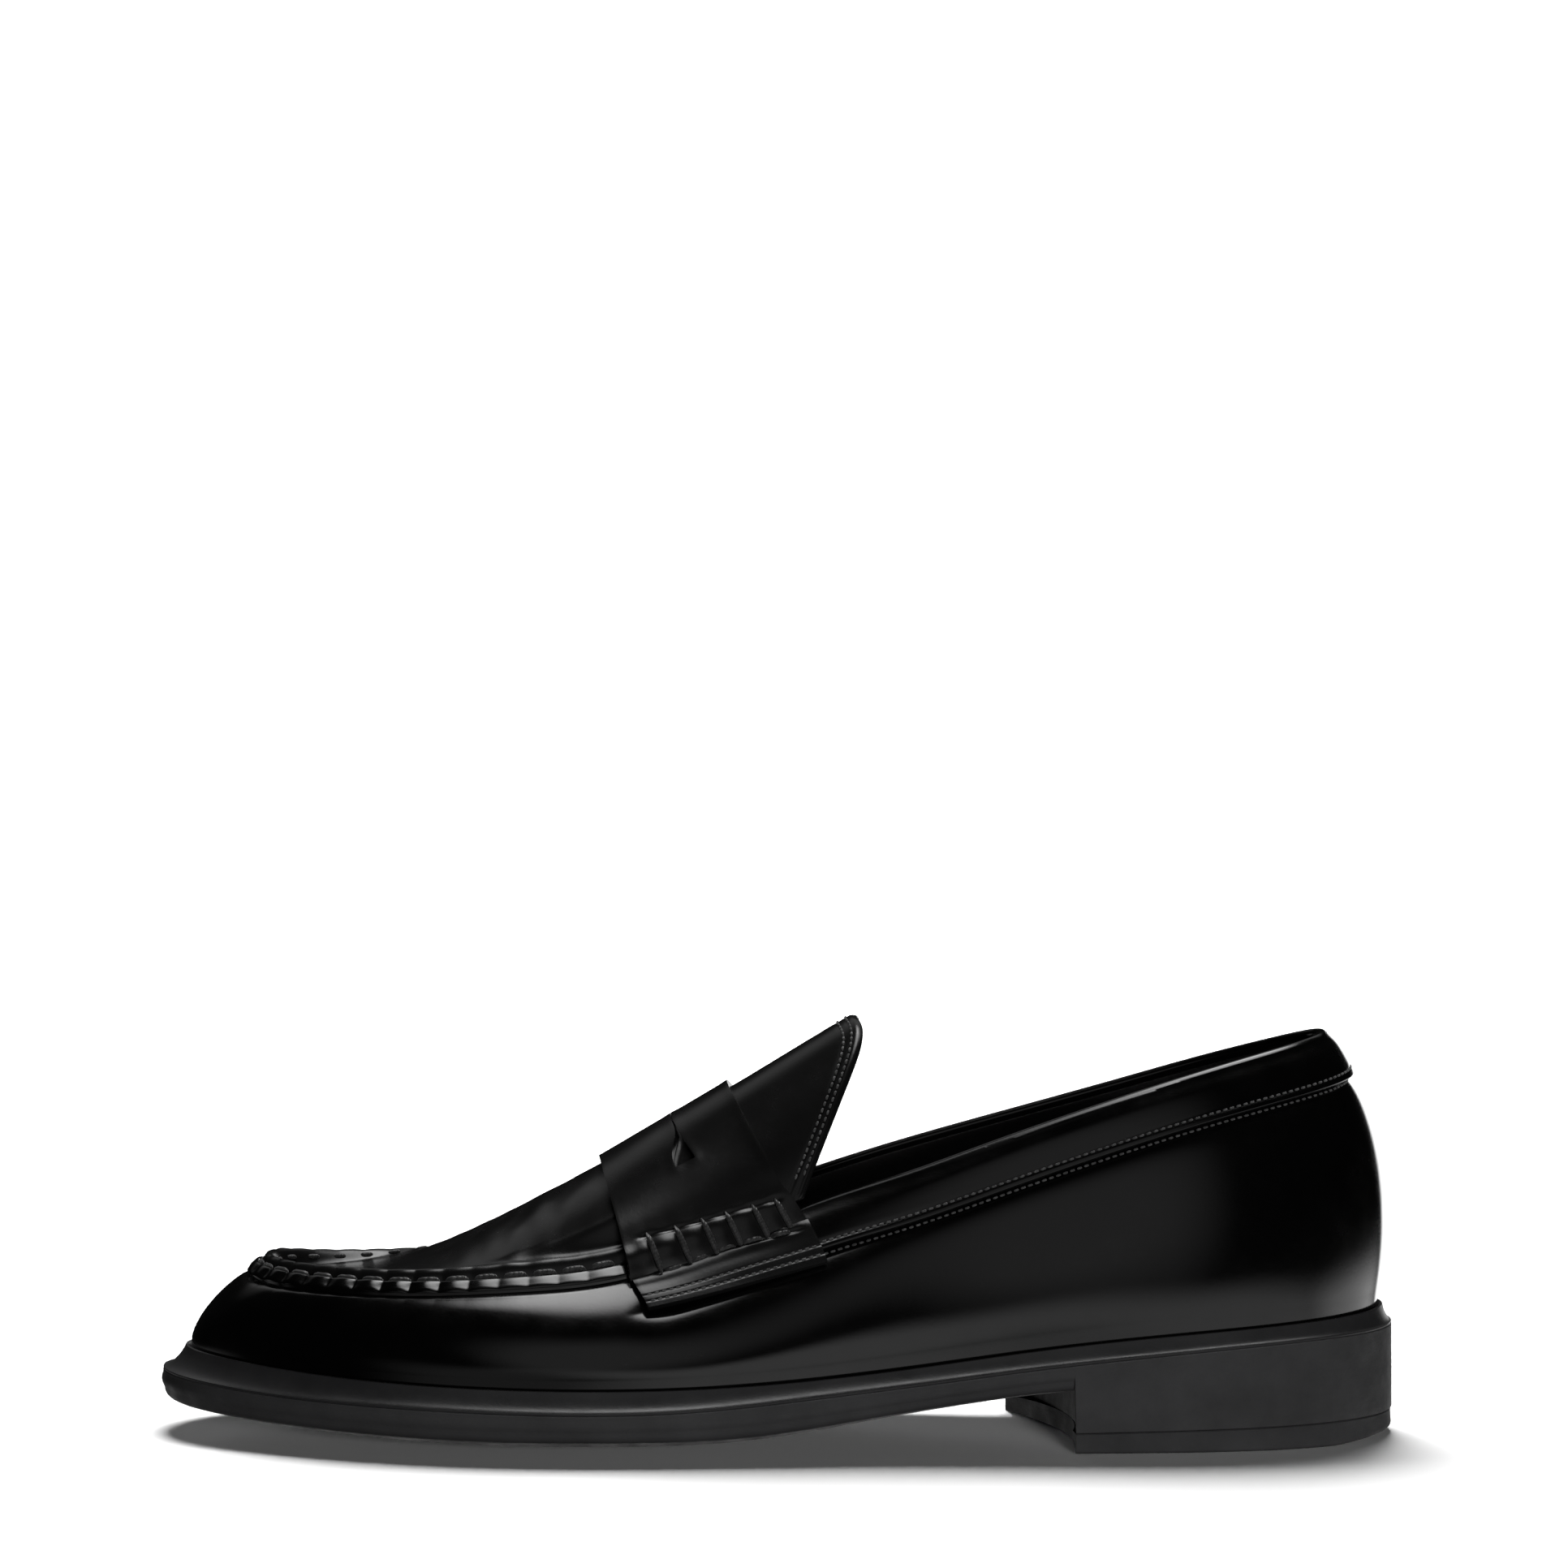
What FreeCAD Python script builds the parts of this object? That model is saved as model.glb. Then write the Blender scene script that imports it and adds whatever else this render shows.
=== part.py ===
import FreeCAD, Part

import math
import os

# A left penny loafer, in millimetres. +X points to the toe, +Y to the wearer's left
# (the outer side of this shoe), +Z up. The floor is Z = 0 and the origin lies on it,
# under the middle of the shoe.

# ---------------------------------------------------------------- driving sizes
UPPER_LEATHER = 1.4
STRAP_LEATHER = 1.5
STRAP_LIFT = 0.3
COLLAR_LEATHER = 0.9
LINING = 0.8
STIFFENER = 1.1
LAYER_GAP = 0.2
THREAD = 0.7
COARSE_THREAD = 1.3
THREAD_LIFT = 0.03

LASTING_MARGIN = 13.0
MARGIN_DEPTH = 1.5
WELT_LIP = 1.5
FILLER_INSET = 3.4
JOINT_GAP = 0.12

INSOLE = 2.0
SOCK = 1.2
PAD = 1.6
BED_GAP = 0.1
SOCK_BASE = INSOLE + 3 * BED_GAP
PAD_FRONT = -72.0

LIFT_FRONT_TOP = 4.5
LIFT_BACK_TOP = 5.8
LIFT_GAP = 0.15
LIFT_RISE_FROM = -126.0
LIFT_RISE = 1.2

NAIL_RADIUS = 0.9
NAIL_LENGTH = 17.0
NAIL_PLACES = ((-117, 0), (-106, 8), (-106, -8), (-86, 12), (-86, -12))
SHANK_FROM = -98.0
SHANK_TO = 16.0
SHANK_WIDTH = 14.0
SHANK_THICKNESS = 1.0
SHANK_CROWN = 0.5
RIVET_RADIUS = 2.0
RIVET_LENGTH = 3.6
RIVET_PLACES = (-88.0, 6.0)

ROLL_HEIGHT = 3.3
PLUG_INSET = 3.6
PLUG_END_ROW = 9.1
COLLAR_DEPTH = 11.0

# The upper as it lies on the last, once round from the back of the heel along the outer
# side to the toe and home along the inner side. Each row holds
# feather edge x, y | top edge x, y, z | how far the wall swells out and up near the
# feather edge | how far out and how far down near the top edge.
ROUND = [
    (-138.2, 0.5, -125.4, 0.5, 92.0, 2.9, 20.0, 15.2, 20.0),
    (-134.0, 14.0, -121.8, 9.8, 91.2, 2.8, 19.0, 13.0, 20.0),
    (-120.5, 25.5, -111.0, 17.0, 88.8, 2.6, 18.0, 10.0, 20.0),
    (-100.0, 31.5, -95.0, 22.0, 84.8, 2.8, 17.0, 9.0, 20.0),
    (-76.0, 33.0, -73.5, 25.0, 78.4, 3.4, 16.0, 7.5, 19.0),
    (-50.0, 33.5, -49.0, 26.5, 70.2, 4.2, 15.0, 6.5, 17.0),
    (-25.0, 36.0, -26.0, 27.8, 62.2, 4.6, 14.0, 7.0, 14.0),
    (-2.0, 40.5, -5.5, 28.5, 55.6, 4.2, 12.0, 8.0, 12.0),
    (20.0, 44.5, 17.0, 31.0, 47.0, 3.2, 10.0, 8.0, 9.0),
    (42.0, 46.0, 40.0, 34.5, 40.0, 2.4, 8.5, 8.0, 6.5),
    (64.0, 44.0, 62.0, 34.5, 37.6, 2.0, 7.5, 7.5, 5.0),
    (85.0, 38.0, 81.0, 31.5, 36.4, 1.6, 7.0, 6.0, 4.2),
    (104.0, 28.5, 97.5, 25.5, 36.0, 1.0, 6.5, 5.2, 3.6),
    (120.0, 16.5, 111.5, 15.5, 36.0, 0.4, 6.0, 5.0, 3.2),
    (131.0, 4.0, 119.5, 4.5, 36.2, 0.0, 5.5, 5.0, 3.2),
    (134.5, -8.5, 121.8, -7.5, 36.4, -0.2, 5.5, 5.0, 3.2),
    (130.5, -21.0, 118.5, -18.5, 36.4, 0.0, 5.5, 5.0, 3.2),
    (119.5, -31.5, 109.5, -26.5, 35.9, 0.4, 6.0, 5.0, 3.2),
    (102.5, -39.5, 94.5, -32.0, 35.6, 1.2, 6.5, 5.6, 4.0),
    (82.0, -44.5, 76.5, -35.0, 36.0, 1.6, 7.0, 6.8, 4.8),
    (60.0, -46.0, 56.0, -35.5, 37.4, 2.0, 8.0, 7.5, 5.6),
    (38.0, -43.5, 36.0, -33.5, 41.0, 2.6, 10.0, 7.5, 7.5),
    (16.0, -38.0, 14.5, -29.5, 48.0, 3.6, 12.0, 7.0, 10.0),
    (-8.0, -32.5, -8.0, -26.5, 56.4, 4.6, 14.0, 6.5, 13.0),
    (-32.0, -29.0, -31.0, -25.5, 63.8, 5.2, 15.5, 6.5, 16.0),
    (-57.0, -27.5, -54.5, -24.0, 70.6, 4.8, 16.5, 7.0, 18.0),
    (-82.0, -28.5, -78.0, -22.0, 77.4, 4.0, 17.5, 8.0, 19.0),
    (-105.0, -28.0, -99.0, -18.6, 83.8, 3.2, 18.0, 9.0, 20.0),
    (-124.0, -20.5, -114.2, -13.2, 88.4, 2.4, 18.5, 10.5, 20.0),
    (-135.0, -10.5, -122.8, -6.4, 91.2, 2.8, 19.5, 13.4, 20.0),
]
AROUND = len(ROUND)

# Places on that round, in rows: where the strap meets the top edge on each side.
OUTER_STRAP_REAR = 7.0
OUTER_STRAP_FRONT = 8.87
INNER_STRAP_FRONT = 21.13
INNER_STRAP_REAR = 23.0

# The round is walked in quarter rows. Strips that go all the way round stop either side of
# the back seam.
ALL_ROUND = [i * 0.25 for i in range(4 * AROUND + 1)]
SEAM_SLIT = 0.03

# The top of the forepart, from ahead of the toe to behind the strap. Each row holds
# middle x, z | outer edge x, y, z | inner edge x, y, z | arch of the section in degrees.
COVER = [
    (134.0, 36.6, 134.0, 36.0, 36.6, 134.0, -46.0, 36.6, 30.0),
    (120.0, 37.0, 120.0, 36.0, 36.6, 120.0, -44.0, 36.8, 30.0),
    (107.0, 37.3, 107.0, 36.0, 36.6, 107.0, -42.0, 36.9, 32.0),
    (95.0, 38.0, 95.0, 36.0, 36.8, 95.0, -40.5, 37.0, 36.0),
    (85.0, 40.4, 84.5, 36.5, 37.0, 84.0, -39.5, 37.2, 42.0),
    (74.7, 44.2, 73.5, 37.0, 37.4, 72.5, -39.5, 37.8, 48.0),
    (63.5, 49.5, 61.5, 37.5, 38.0, 60.0, -39.0, 38.8, 54.0),
    (52.4, 55.5, 49.0, 37.5, 39.0, 47.5, -38.0, 40.2, 60.0),
    (40.8, 61.9, 37.0, 36.3, 41.2, 35.0, -36.0, 42.6, 66.0),
    (26.4, 70.6, 18.0, 33.0, 46.9, 15.0, -32.5, 48.7, 70.0),
    (11.6, 79.4, -1.0, 30.2, 54.4, -4.0, -29.4, 56.4, 72.0),
    (-2.0, 87.8, -16.0, 29.2, 60.5, -18.0, -28.8, 62.4, 70.0),
    (-16.0, 96.2, -31.0, 28.6, 67.0, -33.0, -28.4, 68.6, 68.0),
]
STRAP_FRONT_ROW = 8.0
STRAP_REAR_ROW = 10.0

# Heights along the shoe: (x, z).
FEATHER_HEIGHT = [(-138, 29.4), (-110, 27.7), (-80, 25.4), (-55, 22.7), (-30, 19.6), (0, 17.0),
                  (30, 15.9), (65, 15.9), (95, 16.6), (120, 18.0), (135, 19.2)]
RIDGE_HEIGHT = [(-141, 25.4), (-116, 24.5), (-78, 21.5), (-56, 19.2), (-32, 16.4), (-3, 13.7),
                (26, 11.6), (70, 11.4), (96, 11.9), (123, 12.8), (140, 14.0)]
TREAD_HEIGHT = [(-90, 12.6), (-62, 12.2), (-40, 9.6), (-15, 5.6), (10, 1.6), (32, 0.2), (45, 0.0),
                (65, 0.3), (90, 2.0), (115, 4.6), (140, 7.2)]
TREAD_CAMBER = 3.2

# How far the ridge of the sole stands out from the feather edge, once round like ROUND.
SOLE_REACH = [3.5, 3.4, 3.3, 3.3, 3.5, 3.8, 4.0, 4.2, 4.4, 4.6, 4.8, 5.2, 5.8, 6.2, 6.5,
              6.5, 6.4, 6.2, 5.6, 5.0, 4.6, 4.4, 4.2, 4.0, 3.8, 3.5, 3.4, 3.3, 3.3, 3.4]

HEEL_BREAST = ((-64.4, 33.0), (-65.5, 0.0), (-56.1, -33.0))


# ---------------------------------------------------------------- curves
class Curve:
    """A smooth curve of any number of columns through rows, at 0, 1, 2 ... or at their x."""

    def __init__(self, rows, closed=False, by_x=False):
        self.closed = closed
        self.period = len(rows)
        self.pad = 6 if closed else 0
        if closed:
            rows = [rows[(i - self.pad) % self.period] for i in range(self.period + 2 * self.pad + 1)]
        self.x = [row[0] for row in rows] if by_x else list(range(len(rows)))
        columns = list(zip(*rows))[1 if by_x else 0:]
        self.columns = [(list(column), self.bends(column)) for column in columns]

    def bends(self, y):
        """Second derivatives of the natural cubic spline through y."""
        n = len(y)
        x = self.x
        bend = [0.0] * n
        upper = [0.0] * n
        for i in range(1, n - 1):
            before = x[i] - x[i - 1]
            after = x[i + 1] - x[i]
            kink = 6 * ((y[i + 1] - y[i]) / after - (y[i] - y[i - 1]) / before)
            pivot = 2 * (before + after) - before * upper[i - 1]
            upper[i] = after / pivot
            bend[i] = (kink - before * bend[i - 1]) / pivot
        for i in range(n - 2, 0, -1):
            bend[i] -= upper[i] * bend[i + 1]
        return bend

    def __call__(self, at):
        if self.closed:
            at = at % self.period + self.pad
        x = self.x
        i = 0
        while i < len(x) - 2 and at > x[i + 1]:
            i += 1
        step = x[i + 1] - x[i]
        b = (at - x[i]) / step
        a = 1 - b
        values = []
        for y, bend in self.columns:
            curved = ((a ** 3 - a) * bend[i] + (b ** 3 - b) * bend[i + 1]) * step * step / 6
            values.append(a * y[i] + b * y[i + 1] + (curved if 0 <= b <= 1 else 0))
        return values


last_round = Curve(ROUND, closed=True)
sole_reach = Curve([(reach,) for reach in SOLE_REACH], closed=True)
cover_rows = Curve(COVER)
feather_height = Curve(FEATHER_HEIGHT, by_x=True)
ridge_height = Curve(RIDGE_HEIGHT, by_x=True)
tread_height = Curve(TREAD_HEIGHT, by_x=True)


def ease(start, end, value):
    """0 before start, 1 after end, smooth between."""
    part = max(0.0, min(1.0, (value - start) / (end - start)))
    return part * part * (3 - 2 * part)


def plus(a, b, times=1.0):
    return [p + q * times for p, q in zip(a, b)]


def unit(a):
    length = math.sqrt(sum(p * p for p in a))
    return [p / length for p in a]


def cross(a, b):
    return [a[1] * b[2] - a[2] * b[1], a[2] * b[0] - a[0] * b[2], a[0] * b[1] - a[1] * b[0]]


def bezier(points, t):
    while len(points) > 1:
        points = [[p + (q - p) * t for p, q in zip(a, b)] for a, b in zip(points, points[1:])]
    return points[0]


# ---------------------------------------------------------------- the shape of the last
def feather(s, out=0.0, up=0.0):
    """A point beside the feather edge at round place s."""
    x, y = last_round(s)[:2]
    ahead = last_round(s + 0.05)
    behind = last_round(s - 0.05)
    along = unit([ahead[0] - behind[0], ahead[1] - behind[1], 0.0])
    x -= along[1] * out
    return [x, y + along[0] * out, feather_height(x)[0] + up]


def outward(s):
    x, y = feather(s, 1.0)[:2]
    at = feather(s)
    return [x - at[0], y - at[1], 0.0]


def wall_face(s, t):
    """The upper's outer face: t runs from 0 by the feather edge to 1 at the top edge."""
    row = last_round(s)
    side = outward(s)
    base = feather(s, 0.0, MARGIN_DEPTH)
    top = row[2:5]
    low = plus(plus(base, side, row[5]), [0, 0, row[6]])
    high = plus(plus(top, side, row[7]), [0, 0, -row[8]])
    return bezier([base, low, high, top], t)


def wall(s, t, depth=0.0):
    """A point on the wall, depth below its outer face."""
    point = wall_face(s, t)
    if depth == 0:
        return point
    along = plus(wall_face(s + 0.04, t), wall_face(s - 0.04, t), -1.0)
    up = plus(wall_face(s, min(1.0, t + 0.02)), wall_face(s, max(0.0, t - 0.02)), -1.0)
    return plus(point, unit(cross(along, up)), depth)


def cover_face(u, v):
    """The top of the forepart: u in rows of COVER, v from -1 (outer) to 1 (inner)."""
    row = cover_rows(u)
    arch = math.radians(row[8])
    middle = [row[0], (row[3] + row[6]) / 2, row[1]]
    outer = row[2:5]
    inner = row[5:8]
    centre = [(p + q) / 2 for p, q in zip(outer, inner)]
    across = math.sin(v * arch) / math.sin(arch)
    rise = (math.cos(v * arch) - math.cos(arch)) / (1 - math.cos(arch))
    half = [(q - p) / 2 for p, q in zip(outer, inner)]
    return plus(plus(centre, half, across), plus(middle, centre, -1.0), rise)


def cover(u, v, depth=0.0):
    point = cover_face(u, v)
    if depth == 0:
        return point
    along = plus(cover_face(u - 0.04, v), cover_face(u + 0.04, v), -1.0)
    across = plus(cover_face(u, v - 0.02), cover_face(u, v + 0.02), -1.0)
    return plus(point, unit(cross(along, across)), -depth)


# ---------------------------------------------------------------- solids
def vectors(points):
    return [FreeCAD.Vector(*point) for point in points]


def knots(count):
    """Knots and multiplicities of a clamped cubic with that many poles."""
    spans = count - 3
    return [4] + [1] * (spans - 1) + [4], list(range(spans + 1))


def surface(rows):
    """A cubic surface drawn smoothly by a grid of points. Its edges end in the grid's corners."""
    along, along_knots = knots(len(rows))
    across, across_knots = knots(len(rows[0]))
    face = Part.BSplineSurface()
    face.buildFromPolesMultsKnots([vectors(row) for row in rows], along, across,
                                  along_knots, across_knots, False, False, 3, 3)
    return face


def sheet(outer, inner):
    """A solid between two grids of points of the same size."""
    skins = [surface(outer), surface(inner)]
    rims = [border(skin) for skin in skins]
    faces = [skin.toShape() for skin in skins]
    faces += [Part.makeRuledSurface(a, b) for a, b in zip(*rims)]
    return close(faces)


def border(skin):
    """The four edges of a surface."""
    u_from, u_to, v_from, v_to = skin.bounds()
    curves = (skin.uIso(u_from), skin.uIso(u_to), skin.vIso(v_from), skin.vIso(v_to))
    return [curve.toShape() for curve in curves]


def close(faces):
    """Sews faces into one solid."""
    shell = Part.makeShell(faces)
    shell.sewShape()
    solid = Part.makeSolid(Part.Shell(shell.Faces))
    if solid.Volume < 0:
        solid.reverse()
    return solid


def steps(start, end, count):
    return [start + (end - start) * i / (count - 1) for i in range(count)]


def round_places(start, end):
    """Places from start to end, in quarter rows between."""
    twice = ALL_ROUND + [AROUND + s for s in ALL_ROUND[1:]]
    inside = [s for s in twice if start + 0.05 < s < end - 0.05]
    return [start] + inside + [end]


def wall_sheet(places, heights, outside, inside):
    """A sheet of the wall. heights(s) gives the lowest and highest t."""
    outer = []
    inner = []
    for s in places:
        low, high = heights(s)
        levels = steps(low, high, 12)
        outer.append([wall(s, t, outside(s, t)) for t in levels])
        inner.append([wall(s, t, inside(s, t)) for t in levels])
    return sheet(outer, inner)


# Cutting solids start this far below the floor and reach this far past the shoe's ends and sides.
UNDER = -20.0
PAST_ENDS = 150.0
PAST_SIDES = 62.0


def prism(points, height):
    """An upright prism on a smooth closed curve through points."""
    curve = Part.BSplineCurve()
    curve.interpolate([FreeCAD.Vector(x, y, UNDER) for x, y in points], PeriodicFlag=True)
    face = Part.Face(Part.Wire(curve.toShape()))
    return face.extrude(FreeCAD.Vector(0, 0, height))


def outline(inset):
    """An upright prism whose side stands inset(s) inward of the feather edge."""
    return prism([feather(s, -inset(s))[:2] for s in steps(0, AROUND, 97)[:-1]], 80.0)


def slab(bottom, top, x_from=-PAST_ENDS, x_to=PAST_ENDS):
    """A solid between two height functions of x and y, wider than the shoe."""
    xs = steps(x_from, x_to, 41)
    ys = steps(-PAST_SIDES, PAST_SIDES, 13)
    return sheet([[(x, y, top(x, y)) for y in ys] for x in xs],
                 [[(x, y, bottom(x, y)) for y in ys] for x in xs])


def only_solid(shape):
    """The largest solid of a cut shape."""
    solids = sorted(shape.Solids, key=lambda solid: -solid.Volume)
    return solids[0]


def tube(points, radius):
    """A round cord along a smooth line, or along a round arc if it has three points."""
    if len(points) == 3:
        curve = Part.Arc(*vectors(points))
    else:
        curve = Part.BSplineCurve()
        curve.interpolate(vectors(points))
    spine = Part.Wire(curve.toShape())
    start = curve.value(curve.FirstParameter)
    direction = curve.tangent(curve.FirstParameter)[0]
    ring = Part.Wire(Part.makeCircle(radius, start, direction))
    return spine.makePipeShell([ring], True, True)


# ---------------------------------------------------------------- bottom unit
def ridge(x, y=0.0):
    return ridge_height(x)[0]


def tread(x, y):
    middle = -2.0 - 3.0 * ease(-20, 60, x)
    return tread_height(x)[0] + TREAD_CAMBER * min(1.4, abs((y - middle) / 48.0)) ** 2.6


def lift_top(x, y=0.0):
    return LIFT_FRONT_TOP + (LIFT_BACK_TOP - LIFT_FRONT_TOP) * (-60.0 - x) / 80.0


def breast_cutter():
    """Everything ahead of the hollow front face of the heel."""
    near, middle, far = (FreeCAD.Vector(x, y, UNDER - 10) for x, y in HEEL_BREAST)
    arc = Part.Arc(near, middle, far).toShape()
    outward_step = (near - far) * 0.45
    a = near + outward_step
    b = far - outward_step
    front = PAST_ENDS + 10
    corners = [far, b, FreeCAD.Vector(front, b.y, b.z), FreeCAD.Vector(front, a.y, a.z), a, near]
    edges = [arc] + [Part.makeLine(p, q) for p, q in zip(corners, corners[1:])]
    return Part.Face(Part.Wire(edges)).extrude(FreeCAD.Vector(0, 0, 80))


def sole_inset(s):
    return -sole_reach(s)[0]


def make_outsole_unit():
    """Sole, side wall and heel in one moulding."""
    body = outline(sole_inset).common(slab(lambda x, y: lift_top(x) + LIFT_GAP, ridge))
    under = slab(lambda x, y: UNDER - 5, tread).common(breast_cutter())
    return only_solid(body.cut(under))


def make_top_lift():
    """The wearing layer under the heel, flat on the floor and rising a little at the back."""
    body = outline(sole_inset).common(slab(lambda x, y: UNDER / 2, lift_top))
    body = body.cut(breast_cutter())
    back = -PAST_ENDS
    profile = [(PAST_ENDS, 0.0), (LIFT_RISE_FROM, 0.0), (back, LIFT_RISE * (LIFT_RISE_FROM - back) / 15.0),
               (back, UNDER - 5), (PAST_ENDS, UNDER - 5), (PAST_ENDS, 0.0)]
    floor = Part.Face(Part.makePolygon([FreeCAD.Vector(x, -PAST_SIDES, z) for x, z in profile]))
    return only_solid(body.cut(floor.extrude(FreeCAD.Vector(0, 2 * PAST_SIDES, 0))))


# The welt from its foot under the upper to the top of the cove: out from the feather edge, up.
WELT_TOP = [(-3.0, -MARGIN_DEPTH - 0.3), (-1.2, -MARGIN_DEPTH - 0.3), (-0.1, -MARGIN_DEPTH - 0.25),
            (0.3, -MARGIN_DEPTH), (0.4, -0.4), (0.55, 0.25), (1.1, 0.35), (WELT_LIP, 0.0)]
COVE_STEPS = (0.25, 0.5, 0.75, 1.0)
WELT_EDGE = 0.3
WELT_SETBACK = 0.15


def welt_row(s):
    """Points over and under the welt across its width, from inside to outside."""
    reach = sole_reach(s)[0] - WELT_SETBACK
    over = [feather(s, out, up) for out, up in WELT_TOP]
    for part in COVE_STEPS:
        out = WELT_TOP[-1][0] + (reach - WELT_TOP[-1][0]) * part
        point = feather(s, out)
        low = ridge(point[0]) + JOINT_GAP + WELT_EDGE
        point[2] += (low - point[2]) * math.sin(part * math.pi / 2) ** 0.75
        over.append(point)
    under = []
    for out in steps(WELT_TOP[0][0], reach, len(over)):
        point = feather(s, out)
        point[2] = ridge(point[0]) + JOINT_GAP
        under.append(point)
    return over, under


def make_welt():
    rows = [welt_row(s) for s in round_places(SEAM_SLIT, AROUND - SEAM_SLIT)]
    return sheet([over for over, under in rows], [under for over, under in rows])


def make_bottom_filler():
    """The cork that fills the space between the lasting margin and the sole."""
    body = slab(lambda x, y: ridge(x) + JOINT_GAP, bed(-MARGIN_DEPTH - 0.3))
    return only_solid(outline(lambda s: FILLER_INSET).common(body))


# ---------------------------------------------------------------- foot bed
def bed(depth):
    """A height function: depth above the feather edge."""
    return lambda x, y: feather_height(x)[0] + depth


def lining_inset(s):
    """How far the inside of the lining stands in from the feather edge."""
    return UPPER_LEATHER + LINING + 2 * LAYER_GAP + (STIFFENER + LAYER_GAP) * stiffened(s)


def stiffened(s):
    """1 where a heel counter or toe puff lies in the wall, 0 between."""
    s = s % AROUND
    heel = 1 - ease(3.6, 4.6, s) * (1 - ease(AROUND - 4.6, AROUND - 3.6, s))
    toe = ease(11.4, 12.4, s) * (1 - ease(17.6, 18.6, s))
    return max(heel, toe)


def make_insole_board():
    body = slab(bed(BED_GAP), bed(BED_GAP + INSOLE))
    return only_solid(outline(lambda s: lining_inset(s) + 0.4).common(body))


def pad_rise(x):
    """How much the sock is lifted by the pad under the heel."""
    return (PAD + 0.2) * (1 - ease(PAD_FRONT + 2, PAD_FRONT + 22, x))


def make_heel_pad():
    pad = slab(bed(SOCK_BASE), bed(SOCK_BASE + PAD), -PAST_ENDS, PAD_FRONT)
    return only_solid(outline(lambda s: lining_inset(s) + 2.5).common(pad))


def make_sock_liner():
    def low(x, y):
        return bed(SOCK_BASE)(x, y) + pad_rise(x)

    body = slab(low, lambda x, y: low(x, y) + SOCK)
    return only_solid(outline(lambda s: lining_inset(s) + 0.9).common(body))


def shank_middle(x):
    return -1.5 + 3.0 * ease(-60, 0, x)


def shank_base(x):
    return bed(-MARGIN_DEPTH - BED_GAP)(x, 0)


def make_shank():
    """The spring steel strip that carries the arch, slightly crowned across."""
    half = SHANK_WIDTH / 2
    low = []
    for x in steps(SHANK_FROM, SHANK_TO, 16):
        low.append([(x, shank_middle(x) + y, shank_base(x) + SHANK_CROWN * (1 - (y / half) ** 2))
                    for y in steps(-half, half, 7)])
    top = [[(x, y, z + SHANK_THICKNESS) for x, y, z in row] for row in low]
    return sheet(top, low)


# ---------------------------------------------------------------- upper
def roll(s):
    """Share of the full seam roll at round place s: full on the forepart, none by the heel."""
    return ease(OUTER_STRAP_FRONT - 0.5, OUTER_STRAP_FRONT + 0.3, s) * (
        1 - ease(INNER_STRAP_FRONT - 0.3, INNER_STRAP_FRONT + 0.5, s))


def skirt_paths(s):
    """Outer and inner paths across the skirt, from the lasting margin to the top edge."""
    outer = [feather(s, -LASTING_MARGIN, -MARGIN_DEPTH), feather(s, -8.0, -MARGIN_DEPTH),
             feather(s, -4.0, -MARGIN_DEPTH), feather(s, -1.6, -MARGIN_DEPTH + 0.05),
             feather(s, -0.6, -MARGIN_DEPTH + 0.4), feather(s, -0.1, -0.4), feather(s, 0.0, 0.5)]
    inner = [feather(s, -LASTING_MARGIN, -0.1), feather(s, -8.0, -0.1), feather(s, -4.0, -0.1),
             feather(s, -2.4, -0.05), feather(s, -1.8, 0.15), feather(s, -1.5, 0.5), feather(s, -1.42, 1.0)]
    for t in steps(0.0, 1.0, 15):
        outer.append(wall(s, t))
        inner.append(wall(s, t, UPPER_LEATHER))
    side = outward(s)
    top = outer[-1]
    edge = inner[-1]
    share = roll(s)
    # Each step of the roll: how far in from the top edge and how high, as shares of its height.
    for into, up, part in ((-0.08, 0.30, 0.1), (0.05, 0.72, 0.2), (0.45, 1.0, 0.3), (0.88, 0.97, 0.4)):
        full = plus(plus(top, side, -into * ROLL_HEIGHT), [0, 0, up * ROLL_HEIGHT])
        flat = plus(top, plus(edge, top, -1.0), part)
        outer.append([p + (q - p) * share for p, q in zip(flat, full)])
    for part in (0.25, 0.5, 0.75, 1.0):
        full = plus(plus(edge, side, -part * 1.9), [0, 0, part * 1.9])
        flat = plus(edge, plus(top, edge, -1.0), 0.2 * part)
        inner.append([p + (q - p) * share for p, q in zip(flat, full)])
    return outer, inner


def make_skirt():
    paths = [skirt_paths(s) for s in round_places(SEAM_SLIT, AROUND - SEAM_SLIT)]
    return sheet([outer for outer, inner in paths], [inner for outer, inner in paths])


def seam_prism(inset):
    """An upright prism standing on the top edge of the wall, moved inward."""
    return prism([plus(wall_face(s, 1.0), outward(s), -inset)[:2] for s in ALL_ROUND[:-1]], 150.0)


def cover_sheet(u_from, u_to, v_reach, outside, inside, count=25):
    """A sheet of the forepart's top, between two depths below its outer face."""
    us = steps(u_from, u_to, count)
    vs = steps(-v_reach, v_reach, 19)
    return sheet([[cover(u, v, outside) for v in vs] for u in us],
                 [[cover(u, v, inside) for v in vs] for u in us])


PLUG_REACH = 1.02


def make_apron_plug():
    body = cover_sheet(0.0, PLUG_END_ROW, PLUG_REACH, 0.0, UPPER_LEATHER)
    return only_solid(body.common(seam_prism(PLUG_INSET)))


def make_apron_lining():
    low = UPPER_LEATHER + LAYER_GAP
    body = cover_sheet(0.0, PLUG_END_ROW, PLUG_REACH, low, low + LINING)
    return only_solid(body.common(seam_prism(PLUG_INSET + 1.2)))


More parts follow.
